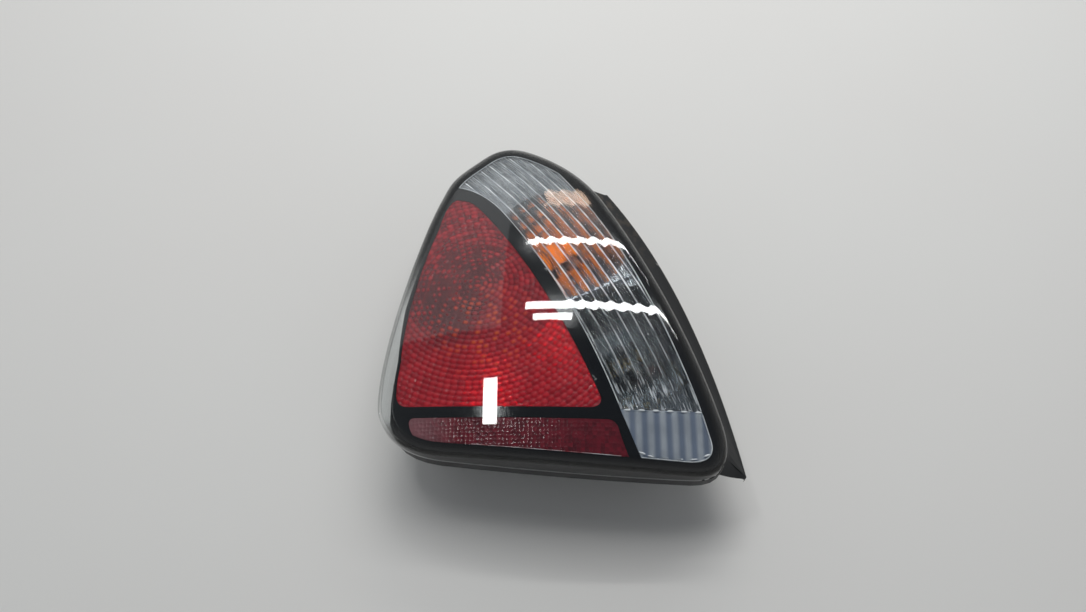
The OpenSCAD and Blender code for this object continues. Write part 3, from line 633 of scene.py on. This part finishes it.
redAcrylic = stopMaterial()
redEdge = lensEdgeMaterial("red lens edge", "#a01626")
innerR = 793.6
stopGrid = polarPoints(stopLens["centre"], stopLens["pitch"], stopLens["sector"], stopLens["sub"], 190)
redSheet = crownSheet([shrunk(stopWindow, 0.3)], [], stopGrid, innerR)
stop = joined("stopLens", [redSheet], [redAcrylic])
tree, real, out = prismTree()
bake(stop, endTree(tree, real, out, redAcrylic), {
    "Pitch": stopLens["pitch"] * mm, "Sector": stopLens["sector"] * mm, "Depth": stopLens["depth"] * mm,
    "Saw": stopLens["saw"] * mm,
    "Centre": (stopLens["centre"][0] * mm, stopLens["centre"][1] * mm, 0.0), "Seed": stopLens["seed"]}, [redAcrylic])
place(stop, "red_lens", "stop_lens")
print("stop lens made:", len(stop.data.polygons), "triangles")


# Reflex strip: dark red acrylic over moulded corner prisms

reflexStrip = {"prismMm": 3.4, "dark": "#560a18", "bright": "#86192b", "pale": "#8a5f64", "step": 3.0}


def reflexMaterial():
    # Dark red acrylic over corner prisms: small cells of two reds, dull because they send light back to its source,
    # with a painted pale reflection towards the left end
    material, tree = newMaterial("dark red reflex acrylic")
    place3 = objectPlace(tree)
    cells = addNode(tree, "ShaderNodeTexVoronoi", {
        "Vector": place3, "Scale": 1000 / reflexStrip["prismMm"], "Randomness": 0.35})
    tone = addNode(tree, "ShaderNodeSeparateColor", {0: cells.outputs["Color"]}).outputs[0]
    cloud = noiseBand(tree, place3, 30, 0.35, 0.7)
    parts = addNode(tree, "ShaderNodeSeparateXYZ", {0: place3})
    # Painted reflection: a pale veil laid over the strip towards its left end
    left = addNode(tree, "ShaderNodeMapRange", {
        "Value": parts.outputs["X"], "From Min": -0.088, "From Max": -0.122, "To Min": 0.0, "To Max": 0.7})
    base = layered(tree, reflexStrip["dark"],
                   (formula(tree, "tone * 0.7", tone=tone), reflexStrip["bright"]),
                   (formula(tree, "cloud * 0.35", cloud=cloud), "#3c0812"))
    base = layered(tree, base, (left.outputs[0], reflexStrip["pale"]))
    bump = addNode(tree, "ShaderNodeBump", {
        "Height": cells.outputs["Distance"], "Strength": 0.3, "Distance": 0.0012})
    shader = addNode(tree, "ShaderNodeBsdfPrincipled", {
        "Base Color": base, "Roughness": 0.2, "IOR": 1.49, "Normal": bump.outputs[0]})
    addNode(tree, "ShaderNodeOutputMaterial", {"Surface": shader.outputs[0]})
    return material


reflexRed = reflexMaterial()
reflexSheet = crownSheet([shrunk(reflexWindow, 0.3)], [], gridPoints(reflexStrip["step"]), innerR)
reflexWalls = sheetWall(reflexSheet, 2.3)
reflex = place(joined("reflexStrip", [reflexSheet, reflexWalls], [reflexRed]), "dark_red_lens", "reflex_reflector")
print("reflex strip made")


# Clear strip: fluted acrylic, the flutes are rings about an axis that leans out over the outboard side

def fluteGrid(r):
    axis = fluteAxis()
    side = np.cross([0, 0, 1], axis)
    side /= np.linalg.norm(side)
    other = np.cross(axis, side)
    points = []
    for k in range(11 * fluteLens["sub"]):
        phi = math.radians(fluteLens["start"] + (k + 0.02) / fluteLens["sub"] * fluteLens["pitch"])
        steps = np.arange(-0.5, 0.5, fluteLens["along"] / (r * math.sin(phi)))
        for w in steps:
            angle = w + fluteMiddle
            p = r * (math.cos(phi) * axis + math.sin(phi) * (math.cos(angle) * side + math.sin(angle) * other))
            points.append([p[0] + crown[0], p[1] + crown[1]])
    return np.array(points)


axis = fluteAxis()
sideWay = np.cross([0, 0, 1], axis)
sideWay /= np.linalg.norm(sideWay)
otherWay = np.cross(axis, sideWay)
sample = np.array([40 - crown[0], 20 - crown[1], domeZ(np.array([[40.0, 20.0]]), innerR)[0] - domeBase])
fluteMiddle = math.atan2(sample @ otherWay, sample @ sideWay)


def fluteTree():
    tree, given, out = newTree("flutes", [
        ("Axis", "NodeSocketVector", (0, 0, 1)), ("Centre", "NodeSocketVector", (0, 0, 0)),
        ("Along", "NodeSocketVector", (0, 1, 0)), ("Start", "NodeSocketFloat", 0.7),
        ("Pitch", "NodeSocketFloat", 0.01), ("Depth", "NodeSocketFloat", 0.001)])
    here = addNode(tree, "GeometryNodeInputPosition").outputs[0]
    away = addNode(tree, "ShaderNodeVectorMath", {0: here, 1: given["Centre"]}, operation="SUBTRACT").outputs[0]
    unit = addNode(tree, "ShaderNodeVectorMath", {0: away}, operation="NORMALIZE").outputs[0]
    cosine = addNode(tree, "ShaderNodeVectorMath", {0: unit, 1: given["Axis"]}, operation="DOT_PRODUCT")
    cosine = cosine.outputs["Value"]
    turns = formula(
        tree, "(arccosine(cosine) - start) / pitch", cosine=cosine, start=given["Start"], pitch=given["Pitch"])
    across = formula(tree, "turns - floor(turns)", turns=turns)
    centred = formula(tree, "across * 2.0 - 1.0", across=across)
    bulge = formula(tree, "centred * centred * depth", centred=centred, depth=given["Depth"])
    offset = addNode(tree, "ShaderNodeCombineXYZ", {2: formula(tree, "0.0 - bulge", bulge=bulge)}).outputs[0]
    moved = addNode(tree, "GeometryNodeSetPosition", {"Geometry": given["Geometry"], "Offset": offset}).outputs[0]
    run = addNode(tree, "ShaderNodeVectorMath", {0: here, 1: given["Along"]}, operation="DOT_PRODUCT").outputs["Value"]
    guide = addNode(tree, "ShaderNodeCombineXYZ", {0: turns, 1: run}).outputs[0]
    noted = addNode(tree, "GeometryNodeStoreNamedAttribute", {
        "Geometry": moved, "Name": "fluteGuide", "Value": guide}, data_type="FLOAT_VECTOR", domain="POINT")
    real = addNode(tree, "GeometryNodeRealizeInstances", {0: noted.outputs[0]}).outputs[0]
    return tree, real, out


def flutedMaterial():
    # Clear acrylic, polished on its face and drawn along the flutes: it streaks what lies behind it, and carries
    # painted highlights and painted streaks of light
    material, tree = newMaterial("clear fluted acrylic")
    guide = addNode(tree, "ShaderNodeAttribute", attribute_name="fluteGuide").outputs["Vector"]
    parts = addNode(tree, "ShaderNodeSeparateXYZ", {0: guide})
    across = formula(tree, "fract(x)", x=parts.outputs["X"])
    # Streaks run along the flutes: 1.6 mm across and 22 mm along
    drawn = addNode(tree, "ShaderNodeCombineXYZ", {
        0: formula(tree, "x * perStreak", x=parts.outputs["X"], perStreak=10.8 / fluteLens["streakMm"]),
        1: formula(tree, "y * perLength", y=parts.outputs["Y"], perLength=1000 / fluteLens["streakLong"])}).outputs[0]
    streak = addNode(tree, "ShaderNodeTexNoise", {"Vector": drawn, "Scale": 1.0, "Detail": 2.0}).outputs["Fac"]
    bump = addNode(tree, "ShaderNodeBump", {"Height": streak, "Strength": 0.8, "Distance": 0.0016})
    clear = addNode(tree, "ShaderNodeBsdfPrincipled", {
        "Base Color": hexColour("#f4f8fa"), "Roughness": 0.02, "IOR": 1.45, "Transmission Weight": 1.0,
        "Normal": bump.outputs[0]})
    # Painted highlight: the root between two flutes is painted as a narrow bright line, where it gathers light
    fold = formula(tree, "absolute(across * 2.0 - 1.0)", across=across)
    line = addNode(tree, "ShaderNodeMapRange", {
        "Value": fold, "From Min": 0.80, "From Max": 0.95, "To Min": 0.0, "To Max": 1.0}).outputs[0]
    patchy = addNode(tree, "ShaderNodeMapRange", {"Value": streak, "From Min": 0.38, "From Max": 0.62}).outputs[0]
    bright = addNode(tree, "ShaderNodeBsdfPrincipled", {
        "Base Color": layered(tree, "#c6ccd2", (patchy, "#fafcfd")), "Roughness": 0.15})
    # Painted light: the upper end and the foot of the strip are painted pale with painted bright streaks, the middle
    # stays dark and streaky
    y = addNode(tree, "ShaderNodeSeparateXYZ", {0: objectPlace(tree)}).outputs["Y"]
    upper = addNode(tree, "ShaderNodeMapRange", {
        "Value": y, "From Min": 0.03, "From Max": 0.125, "To Min": 0.0, "To Max": 1.0}).outputs[0]
    foot = addNode(tree, "ShaderNodeMapRange", {
        "Value": y, "From Min": -0.080, "From Max": -0.105, "To Min": 0.0, "To Max": 1.0}).outputs[0]
    thin = addNode(tree, "ShaderNodeTexNoise", {"Vector": drawn, "Scale": 1.25, "Detail": 1.0}).outputs["Fac"]
    crisp = addNode(tree, "ShaderNodeMapRange", {"Value": thin, "From Min": 0.54, "From Max": 0.66}).outputs[0]
    milky = formula(tree, "upper * 0.28 + crisp * (foot * 0.5 + 0.16)", upper=upper, crisp=crisp, foot=foot)
    lineUp = formula(
        tree, "(1.0 - foot) * 0.55 + rise", foot=foot,
        rise=addNode(tree, "ShaderNodeMapRange", {
            "Value": y, "From Min": -0.06, "From Max": 0.04, "To Min": 0.0, "To Max": 0.8}).outputs[0])
    share = formula(tree, "line * lineUp * (patchy * 0.6 + 0.4)", line=line, lineUp=lineUp, patchy=patchy)
    share = formula(tree, "maximum(share, milky)", share=share, milky=milky)
    mix = addNode(tree, "ShaderNodeMixShader", {0: share, 1: clear.outputs[0], 2: bright.outputs[0]})
    addNode(tree, "ShaderNodeOutputMaterial", {"Surface": mix.outputs[0]})
    return material


flutedClear = flutedMaterial()
clearEdge = lensEdgeMaterial("clear lens edge", "#c9ced2")
splitY = outline["splitY"]
farBox = np.array([[-250.0, splitY], [-250.0, 260.0], [250.0, 260.0], [250.0, splitY]])
nearBox = np.array([[-250.0, -260.0], [-250.0, splitY - 0.3], [250.0, splitY - 0.3], [250.0, -260.0]])
fluteLoop = shrunk(stripWindow, 0.3)
fluteSheet = crownSheet([fluteLoop, farBox], [], fluteGrid(innerR), innerR)
flute = joined("fluteLens", [fluteSheet], [flutedClear])
tree, real, out = fluteTree()
bake(flute, endTree(tree, real, out, flutedClear), {
    "Axis": tuple(axis), "Centre": (crown[0] * mm, crown[1] * mm, domeBase * mm),
    "Along": tuple(otherWay if abs(otherWay[1]) > abs(sideWay[1]) else sideWay),
    "Start": math.radians(fluteLens["start"]), "Pitch": math.radians(fluteLens["pitch"]),
    "Depth": fluteLens["depth"] * mm}, [flutedClear])
place(flute, "fluted_lens", "flute_lens")
print("clear strip made:", len(flute.data.polygons), "triangles")


# Reverse cell: frosted acrylic with upright ribs, the rib ends shown as short dashes of painted highlight

lowerCell = {"pitch": 10.5, "ribDepth": 0.8, "step": 1.3, "dash": 6.0, "frost": "#93a1ba", "frost2": "#dde4ed"}


def frostedMaterial():
    # Acrylic moulded against a matt tool: milky, blue-grey in the shade, its ribs striped pale and dark as painted
    # light and shade
    material, tree = newMaterial("frosted acrylic")
    place3 = objectPlace(tree)
    parts = addNode(tree, "ShaderNodeSeparateXYZ", {0: place3})
    wave = formula(tree, "sine(x * perRib)", x=parts.outputs["X"], perRib=2 * math.pi / (lowerCell["pitch"] * mm))
    ribLightAndShade = addNode(tree, "ShaderNodeMapRange", {"Value": wave, "From Min": -0.7, "From Max": 0.7}).outputs[0]
    cloud = noiseBand(tree, place3, 16, 0.3, 0.7)
    base = layered(tree, lowerCell["frost"], (ribLightAndShade, lowerCell["frost2"]))
    base = layered(tree, base, (formula(tree, "cloud * 0.4", cloud=cloud), "#707a8c"))
    shader = addNode(tree, "ShaderNodeBsdfPrincipled", {
        "Base Color": base, "Roughness": 0.38, "IOR": 1.49, "Transmission Weight": 0.5})
    addNode(tree, "ShaderNodeOutputMaterial", {"Surface": shader.outputs[0]})
    return material


def cellTree():
    tree, given, out = newTree("cellRibs", [("Pitch", "NodeSocketFloat", 0.01), ("Depth", "NodeSocketFloat", 0.001)])
    here = addNode(tree, "GeometryNodeInputPosition").outputs[0]
    xyz = addNode(tree, "ShaderNodeSeparateXYZ", {0: here}).outputs
    phase = formula(tree, "x / pitch * tau", x=xyz[0], pitch=given["Pitch"], tau=2 * math.pi)
    rib = formula(tree, "(sine(phase) - 1.0) * depth", phase=phase, depth=given["Depth"])
    offset = addNode(tree, "ShaderNodeCombineXYZ", {2: formula(tree, "rib * 0.5", rib=rib)}).outputs[0]
    moved = addNode(tree, "GeometryNodeSetPosition", {"Geometry": given["Geometry"], "Offset": offset}).outputs[0]
    real = addNode(tree, "GeometryNodeRealizeInstances", {0: moved}).outputs[0]
    return tree, real, out


frosted = frostedMaterial()
cellSheet = crownSheet([fluteLoop, nearBox], [], gridPoints(lowerCell["step"], (40, 150, -185, -115)), innerR)
cell = joined("lowerCell", [cellSheet], [frosted])
tree, real, out = cellTree()
bake(cell, endTree(tree, real, out, frosted), {
    "Pitch": lowerCell["pitch"] * mm, "Depth": lowerCell["ribDepth"] * mm}, [frosted])
place(cell, "fluted_lens", "lower_cell_lens")
print("reverse cell made:", len(cell.data.polygons), "triangles")


# Painted highlights: the cut edge of a clear lens is drawn as a thin bright line, and each rib end as a bright dash

def pathObject(name, points, r, lift, material):
    flat = np.asarray(points)
    line = np.column_stack([flat, domeZ(flat, r) + lift])
    mesh = bpy.data.meshes.new(name)
    mesh.from_pydata([tuple(p) for p in line * mm], [(i, i + 1) for i in range(len(line) - 1)], [])
    mesh.materials.append(material)
    piece = bpy.data.objects.new(name, mesh)
    scene.collection.objects.link(piece)
    return piece


def beadTree():
    tree, given, out = newTree("edgeBead", [("Radius", "NodeSocketFloat", 0.0005)])
    curve = addNode(tree, "GeometryNodeMeshToCurve", {"Mesh": given["Geometry"]}).outputs[0]
    ring = addNode(tree, "GeometryNodeCurvePrimitiveCircle", {"Resolution": 8, "Radius": given["Radius"]}).outputs[0]
    tube = addNode(tree, "GeometryNodeCurveToMesh", {0: curve, 1: ring}).outputs[0]
    real = addNode(tree, "GeometryNodeRealizeInstances", {0: tube}).outputs[0]
    return tree, real, out


def dashTree(source):
    tree, given, out = newTree("ribEnds", [("Spacing", "NodeSocketFloat", 0.01), ("Size", "NodeSocketFloat", 1.0)])
    curve = addNode(tree, "GeometryNodeMeshToCurve", {"Mesh": given["Geometry"]}).outputs[0]
    spaced = addNode(tree, "GeometryNodeResampleCurve", {"Curve": curve, "Length": given["Spacing"]}, mode="LENGTH")
    tangent = addNode(tree, "GeometryNodeInputTangent").outputs[0]
    turned = addNode(tree, "FunctionNodeAlignEulerToVector", {"Vector": tangent}, axis="X").outputs[0]
    info = addNode(tree, "GeometryNodeObjectInfo", {"Object": source}).outputs["Geometry"]
    copies = addNode(tree, "GeometryNodeInstanceOnPoints", {
        "Points": spaced.outputs[0], "Instance": info, "Rotation": turned, "Scale": given["Size"]}).outputs[0]
    real = addNode(tree, "GeometryNodeRealizeInstances", {0: copies}).outputs[0]
    return tree, real, out


def edgeBead(name, points, radius, material, slotName, r=innerR):
    piece = pathObject(name, points, r, 0.1, material)
    tree, real, out = beadTree()
    bake(piece, endTree(tree, real, out, material), {"Radius": radius * mm}, [material])
    return place(piece, slotName)


def openPath(loop, keep):
    # The longest run of a loop's points for which keep is true
    flags = np.array([bool(keep(p)) for p in loop])
    if flags.all():
        return np.vstack([loop, loop[:1]])
    start = next(i for i in range(len(loop)) if not flags[i])
    order = [(start + k) % len(loop) for k in range(len(loop))]
    best, run = [], []
    for i in order + [start]:
        if flags[i]:
            run.append(i)
        else:
            best, run = (run if len(run) > len(best) else best), []
    return loop[best]


edgeBead("stripEdge", openPath(shrunk(stripWindow, 0.7), lambda p: p[1] > splitY), fluteLens["bead"], clearEdge,
         "fluted_lens")
edgeBead("cellEdge", openPath(shrunk(stripWindow, 0.7), lambda p: p[1] < splitY and (p[0] > 70 or p[1] < -160)), 0.5,
         clearEdge, "fluted_lens")
edgeBead("reflexEdge", openPath(shrunk(reflexWindow, 0.6), lambda p: p[1] < -150 and -100 < p[0] < 50), 0.35,
         redEdge, "dark_red_lens")
dashRing = [[math.cos(a) * lowerCell["dash"] / 2, math.sin(a) * 1.0] for a in np.arange(12) / 12 * 2 * math.pi]
dash = ringLoft([[[x * k, y * k, h] for x, y in dashRing] for k, h in ((1.0, 0.0), (0.9, 0.5), (0.6, 0.8))], None,
                [0, 0, 0.9])
ribEnd = lensEdgeMaterial("frosted rib end", "#eef1f4")
oneDash = joined("dashPattern", [dash], [ribEnd])
stripBottom = shrunk(stripWindow, 2.6)
topRun = np.array([[x, splitY - 1.0] for x in np.linspace(56, 118, 30)])
lowRun = openPath(stripBottom, lambda p: p[1] < -158)
for name, run in (("cellTopDashes", topRun), ("cellLowDashes", lowRun)):
    dashes = pathObject(name, run, innerR, 0.2, ribEnd)
    tree, real, out = dashTree(oneDash)
    bake(dashes, endTree(tree, real, out, ribEnd), {"Spacing": lowerCell["pitch"] * mm, "Size": 1.0}, [ribEnd])
    place(dashes, "fluted_lens")
bpy.data.objects.remove(oneDash)
print("bright edges made")


# Mounting studs: zinc-plated steel with a rolled M6 thread, one stud repeated on three points

studs = {"at": [(-112, -108), (92, -130), (-50, 120)], "d": 6.0, "pitch": 1.0, "low": 0.0, "high": 28.2,
         "shank": 5.4, "top": 40.0, "headD": 11.0, "headT": 4.0, "threadDepth": 0.55, "sides": 28}


def studMesh():
    r, sides, rows = studs["d"] / 2, studs["sides"], []
    zs = np.arange(studs["low"] + 0.8, studs["high"], studs["pitch"] / 6)
    angles = np.arange(sides) / sides * 2 * math.pi
    for z in zs:
        phase = (z / studs["pitch"] - angles / (2 * math.pi)) % 1.0
        depth = studs["threadDepth"] * np.abs(2 * phase - 1)
        radius = r - depth
        rows.append(np.column_stack([radius * np.cos(angles), radius * np.sin(angles), np.full(sides, z)]))
    unit = np.column_stack([np.cos(angles), np.sin(angles)])
    rows = [atZ(unit * (r - 0.9), studs["low"]), atZ(unit * (r - 0.6), studs["low"] + 0.5)] + rows + [
        atZ(unit * (r - 0.3), studs["high"] + 0.4), atZ(unit * studs["shank"] / 2, studs["high"] + 0.8),
        atZ(unit * studs["shank"] / 2, studs["top"] - studs["headT"])]
    thread = ringLoft(rows, [0, 0, studs["low"]], [0, 0, studs["top"] - studs["headT"]])
    corners = np.arange(6) / 6 * 2 * math.pi
    hexagon = np.column_stack([np.cos(corners), np.sin(corners)]) * studs["headD"] / 2
    headLow = studs["top"] - studs["headT"]
    head = ringLoft([atZ(hexagon, headLow), atZ(hexagon, studs["top"])], [0, 0, headLow], [0, 0, studs["top"]])
    return [thread, head]


# Zinc-plated steel, rolled thread: cool grey metal with a fine broken gloss
zincSteel = moulded("zinc-plated steel", "#a9acb0", "#c2c4c6", 0.32, grainMm=0.6, grain=0.1, patchMm=8, metallic=1.0)


def studTree(source):
    tree, given, out = newTree("studSet", [])
    info = addNode(tree, "GeometryNodeObjectInfo", {"Object": source}).outputs["Geometry"]
    spots = addNode(tree, "GeometryNodeMeshToPoints", {"Mesh": given["Geometry"]}).outputs[0]
    copies = addNode(tree, "GeometryNodeInstanceOnPoints", {"Points": spots, "Instance": info}).outputs[0]
    real = addNode(tree, "GeometryNodeRealizeInstances", {0: copies}).outputs[0]
    return tree, real, out


oneStud = joined("studPattern", studMesh(), [zincSteel])
studSpots = makeObject("studSet", [(x, y, 0) for x, y in studs["at"]], [], [zincSteel])
tree, real, out = studTree(oneStud)
bake(studSpots, endTree(tree, real, out, zincSteel), {}, [zincSteel])
bpy.data.objects.remove(oneStud)
place(studSpots, "zinc_steel", "mounting_studs")
print("studs made")


# Housing: the solid itself, in moulded matt black

def housingMaterial():
    # Matt black ABS, moulded against a grained tool: soft wide highlights, a painted brownish sheen towards the upper
    # end and two small scuffs
    material, tree = newMaterial("matt black ABS")
    place3 = objectPlace(tree)
    tone = noiseBand(tree, place3, 25, 0.35, 0.65)
    bloom = noiseBand(tree, place3, 7, 0.46, 0.62)
    fine = noiseBand(tree, place3, 1.2, 0.3, 0.7)
    parts = addNode(tree, "ShaderNodeSeparateXYZ", {0: place3})
    # Painted sheen: brownish mottling only towards the upper end
    high = addNode(tree, "ShaderNodeMapRange", {
        "Value": parts.outputs["Y"], "From Min": 0.03, "From Max": 0.12, "To Min": 0.0, "To Max": 0.7}).outputs[0]
    base = layered(tree, "#121314", (tone, "#1b1c1d"))
    base = layered(tree, base, (formula(tree, "bloom * high", bloom=bloom, high=high), "#4a4238"))
    for x, y, angle in ((0.0985, 0.047, -35), (0.1065, 0.037, 50)):
        turned = math.radians(-angle)
        across, along = math.cos(turned), math.sin(turned)
        local = objectPlace(tree, turned, (y * along - x * across, -x * along - y * across, 0))
        axes = addNode(tree, "ShaderNodeSeparateXYZ", {0: local})
        far = formula(tree, "(x / 0.0045) ** 2.0 + (y / 0.0009) ** 2.0", x=axes.outputs["X"], y=axes.outputs["Y"])
        mark = addNode(tree, "ShaderNodeMapRange", {
            "Value": far, "From Min": 0.5, "From Max": 1.2, "To Min": 0.75, "To Max": 0.0}).outputs[0]
        base = layered(tree, base, (formula(tree, "mark * fine", mark=mark, fine=fine), "#c9c8c2"))
    bump = addNode(tree, "ShaderNodeBump", {"Height": fine, "Strength": 0.25, "Distance": 0.0003})
    gloss = addNode(tree, "ShaderNodeMapRange", {"Value": tone, "To Min": 0.4, "To Max": 0.55})
    shader = addNode(tree, "ShaderNodeBsdfPrincipled", {
        "Base Color": base, "Roughness": gloss.outputs[0], "Normal": bump.outputs[0]})
    addNode(tree, "ShaderNodeOutputMaterial", {"Surface": shader.outputs[0]})
    return material


housingBlack = housingMaterial()


# Side flange skin: smooth moulded face over the flange, run down to the lower corner of the lens

sideFlange = {"outer": [(49, 132), (129, 21), (162, -167)], "topZ": 87.3, "outZ": 72.3, "lip": 9.3, "first": 122,
              "last": -153.3, "tailX": 134}


def flangeSkin():
    upper, middle, lower = (np.array(p, float) for p in sideFlange["outer"])
    run = edge[(edge[:, 0] > 10) & (edge[:, 1] < sideFlange["first"]) & (edge[:, 1] > sideFlange["last"])]
    run = run[np.argsort(-run[:, 1])]
    rows = []
    for inner in run:
        t = (sideFlange["first"] - inner[1]) / (sideFlange["first"] - sideFlange["last"])
        outerPoint = (1 - t) ** 2 * upper + 2 * t * (1 - t) * middle + t * t * lower
        rows.append((inner, outerPoint, 0.0))
    corner = edge[(edge[:, 1] <= sideFlange["last"]) & (edge[:, 0] > sideFlange["tailX"])]
    corner = corner[np.argsort(-corner[:, 1])]
    for k, inner in enumerate(corner):
        share = (k + 1) / len(corner)
        rows.append((inner, lower - 2.0 * share, 3.0 * share))
    vertices, faces = [], []
    across = [0.0, 0.25, 0.5, 0.75, 0.93, 1.0]
    for inner, outerPoint, dip in rows:
        toward = (inner - outerPoint) / np.linalg.norm(inner - outerPoint)
        start = inner - toward * 0.4
        for u in across:
            p = start * (1 - u) + outerPoint * u
            z = sideFlange["topZ"] - dip * (1 - u) - (
                sideFlange["topZ"] - sideFlange["outZ"]) * (u + 0.12 * math.sin(math.pi * u))
            vertices.append([p[0], p[1], z])
        vertices.append([outerPoint[0] - toward[0] * 0.35, outerPoint[1] - toward[1] * 0.35, sideFlange["outZ"] - 1.0])
        vertices.append([outerPoint[0] - toward[0] * 0.35, outerPoint[1] - toward[1] * 0.35,
                         sideFlange["outZ"] - sideFlange["lip"]])
    width = len(across) + 2
    for r in range(len(rows) - 1):
        for c in range(width - 1):
            a = r * width + c
            faces.append([a, a + width, a + width + 1, a + 1])
    return {"vertices": np.array(vertices), "faces": faces}


skin = joined("sideFlangeSkin", [flangeSkin()], [housingBlack])
place(skin, "black_moulding")
print("side flange skin made")


# Finishes of the pieces inside and behind

# Aluminium evaporated on plastic: a near mirror with a faint ripple
metallised = moulded("metallised reflector", "#c4c7cb", "#dcdee0", 0.12, grainMm=6, grain=0.3, metallic=1.0)
# Butyl sealant, pressed into its groove: dull, slightly uneven charcoal
sealantGrey = moulded("butyl sealant", "#1d1e20", "#2a2b2d", 0.7, grainMm=2)
# Closed-cell foam, cut from sheet: no gloss and a pitted grain
foamBlack = moulded("closed-cell foam", "#17181a", "#242527", 0.95, grainMm=0.9, grain=0.8)
# Seal rubber, moulded: even black with a weak sheen
rubberBlack = moulded("seal rubber", "#141414", "#1d1d1d", 0.8, grainMm=1)
# Glass-filled nylon, moulded: dark grey, a little mottled by the fibres
holderGrey = moulded("glass-filled nylon", "#2c2e31", "#393b3f", 0.45, grainMm=1)
# Polypropylene, moulded: waxy satin black
ventBlack = moulded("vent cap polypropylene", "#1b1c1e", "#252628", 0.5)
# Membrane cloth, pressed fibre: off-white and matt
ventCloth = moulded("vent membrane", "#e4e3df", "#f2f1ee", 0.9, grainMm=0.6, grain=0.5)
# Drawn brass: warm yellow metal with fine wear
brass = moulded("brass bulb cap", "#b48d45", "#caa65c", 0.3, grainMm=2, metallic=1.0)
# Stamped brass blade, tinned: pale warm grey metal
tinned = moulded("tinned brass blade", "#b8b3a6", "#cfcabd", 0.28, grainMm=1, metallic=1.0)
# Drawn tungsten: dull grey wire
filament = moulded("tungsten wire", "#7d7c7a", "#9a9896", 0.4, metallic=1.0)
# Steel screw with a yellow zinc passivate: pale gold metal
screwZinc = moulded("yellow zinc screw", "#b79a4c", "#cbb46c", 0.35, metallic=1.0)
# Blown glass, clear: thin, seen by its mirror images
bulbGlass = clearShell("clear bulb glass", "#f4f7f8", "#8d9396", 1.5, 0.02)
# Blown glass, dyed amber, with a painted glow: its colour is made to emit light, standing in for light passing through
# it twice
amberGlass = clearShell("amber bulb glass", "#ffc04a", "#c86408", 1.5, 0.02, dyeAndGlow="#ffa21c")


def dress(material, *names):
    for name in names:
        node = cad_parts[name]
        node.data.materials.clear()
        node.data.materials.append(material)


dress(housingBlack, "housing")
dress(metallised, "reflector")
dress(sealantGrey, "lens_sealant")
dress(foamBlack, "body_gasket")
dress(ventBlack, "vent_cap")
dress(ventCloth, "vent_membrane")
dress(screwZinc, "reflector_screws")
for side, glass in (("stop", bulbGlass), ("turn", amberGlass), ("reverse", bulbGlass)):
    dress(glass, side + "_bulb_glass")
    dress(brass, side + "_bulb_cap")
    dress(filament, side + "_filament")
    dress(holderGrey, side + "_socket")
    dress(rubberBlack, side + "_socket_seal")
    dress(tinned, side + "_terminals")
print("nodes dressed")


# Floor, lights and camera

room = {"floor": "#dededb", "floor2": "#dddcd9", "floorSize": 7.0, "skyTop": "#5a5f66", "skyLow": "#e2e4e6",
        "skyStrength": 0.75,
        "tubes": [((0.385, 1.33, 1.5), (1.20, 0.055), 4.6), ((0.375, 0.74, 1.5), (1.15, 0.05), 4.0),
                  ((-0.05, 0.655, 1.5), (0.217, 0.04), 0.6), ((-0.383, 0.15, 1.5), (0.075, 0.26), 1.35)],
        "warm": ((0.06, 1.95, 1.5), (0.32, 0.26), 1.5, "#f0cdb4"),
        "side": ((-1.44, 1.55, 1.5), (2.2, 1.9), 5.0), "ceiling": ((0.1, 0.9, 2.4), (1.8, 1.2), 26.0)}

# Painted board: matt and pale, with hardly any change of tone
floorMaterial, tree = newMaterial("studio floor")
speck = noiseBand(tree, objectPlace(tree), 400, 0.3, 0.7)
floorShader = addNode(tree, "ShaderNodeBsdfPrincipled", {
    "Base Color": layered(tree, room["floor"], (speck, room["floor2"])), "Roughness": 0.75})
addNode(tree, "ShaderNodeOutputMaterial", {"Surface": floorShader.outputs[0]})
half = room["floorSize"] / 2 / mm
floorPiece = makeObject("floor", [(-half, -half, 0), (half, -half, 0), (half, half, 0), (-half, half, 0)],
                        [[0, 1, 2, 3]], [floorMaterial], smooth=False)

world = bpy.data.worlds.new("studio")
scene.world = world
world.use_nodes = True
tree = world.node_tree
tree.nodes.clear()
coords = addNode(tree, "ShaderNodeTexCoord")
height = addNode(tree, "ShaderNodeSeparateXYZ", {0: coords.outputs["Generated"]}).outputs[2]
rise = addNode(tree, "ShaderNodeMapRange", {"Value": height, "From Min": 0.05, "From Max": 0.95}).outputs[0]
sky = layered(tree, room["skyLow"], (rise, room["skyTop"]))
light = addNode(tree, "ShaderNodeBackground", {"Color": sky, "Strength": room["skyStrength"]})
addNode(tree, "ShaderNodeOutputWorld", {"Surface": light.outputs[0]})


def tubeLamp(name, at, size, power, colour="#ffffff"):
    data = bpy.data.lights.new(name, "AREA")
    data.shape = "RECTANGLE"
    data.size, data.size_y = size
    data.energy = power
    data.color = hexColour(colour)[:3]
    lamp = bpy.data.objects.new(name, data)
    lamp.location = at
    scene.collection.objects.link(lamp)
    return lamp


for k, (at, size, power) in enumerate(room["tubes"]):
    tubeLamp("tube%d" % (k + 1), at, size, power)
tubeLamp("warmPanel", *room["warm"][:3], room["warm"][3])
tubeLamp("sidePanel", *room["side"])
ceiling = tubeLamp("ceiling", *room["ceiling"])
ceiling.visible_glossy = ceiling.visible_transmission = False  # soft light only, so black mouldings stay black

view = {"target": (-0.016, -0.008, 0.092), "elevation": 62.0, "distance": 0.880, "lens": 31.16, "sensor": 36.0}
cameraData = bpy.data.cameras.new("camera")
cameraData.lens, cameraData.sensor_width = view["lens"], view["sensor"]
camera = bpy.data.objects.new("camera", cameraData)
rise = math.radians(view["elevation"])
target = Vector(view["target"])
camera.location = target + Vector((0, -math.cos(rise), math.sin(rise))) * view["distance"]
camera.rotation_euler = (target - camera.location).to_track_quat("-Z", "Y").to_euler()
scene.collection.objects.link(camera)
scene.camera = camera
print("lights and camera set")
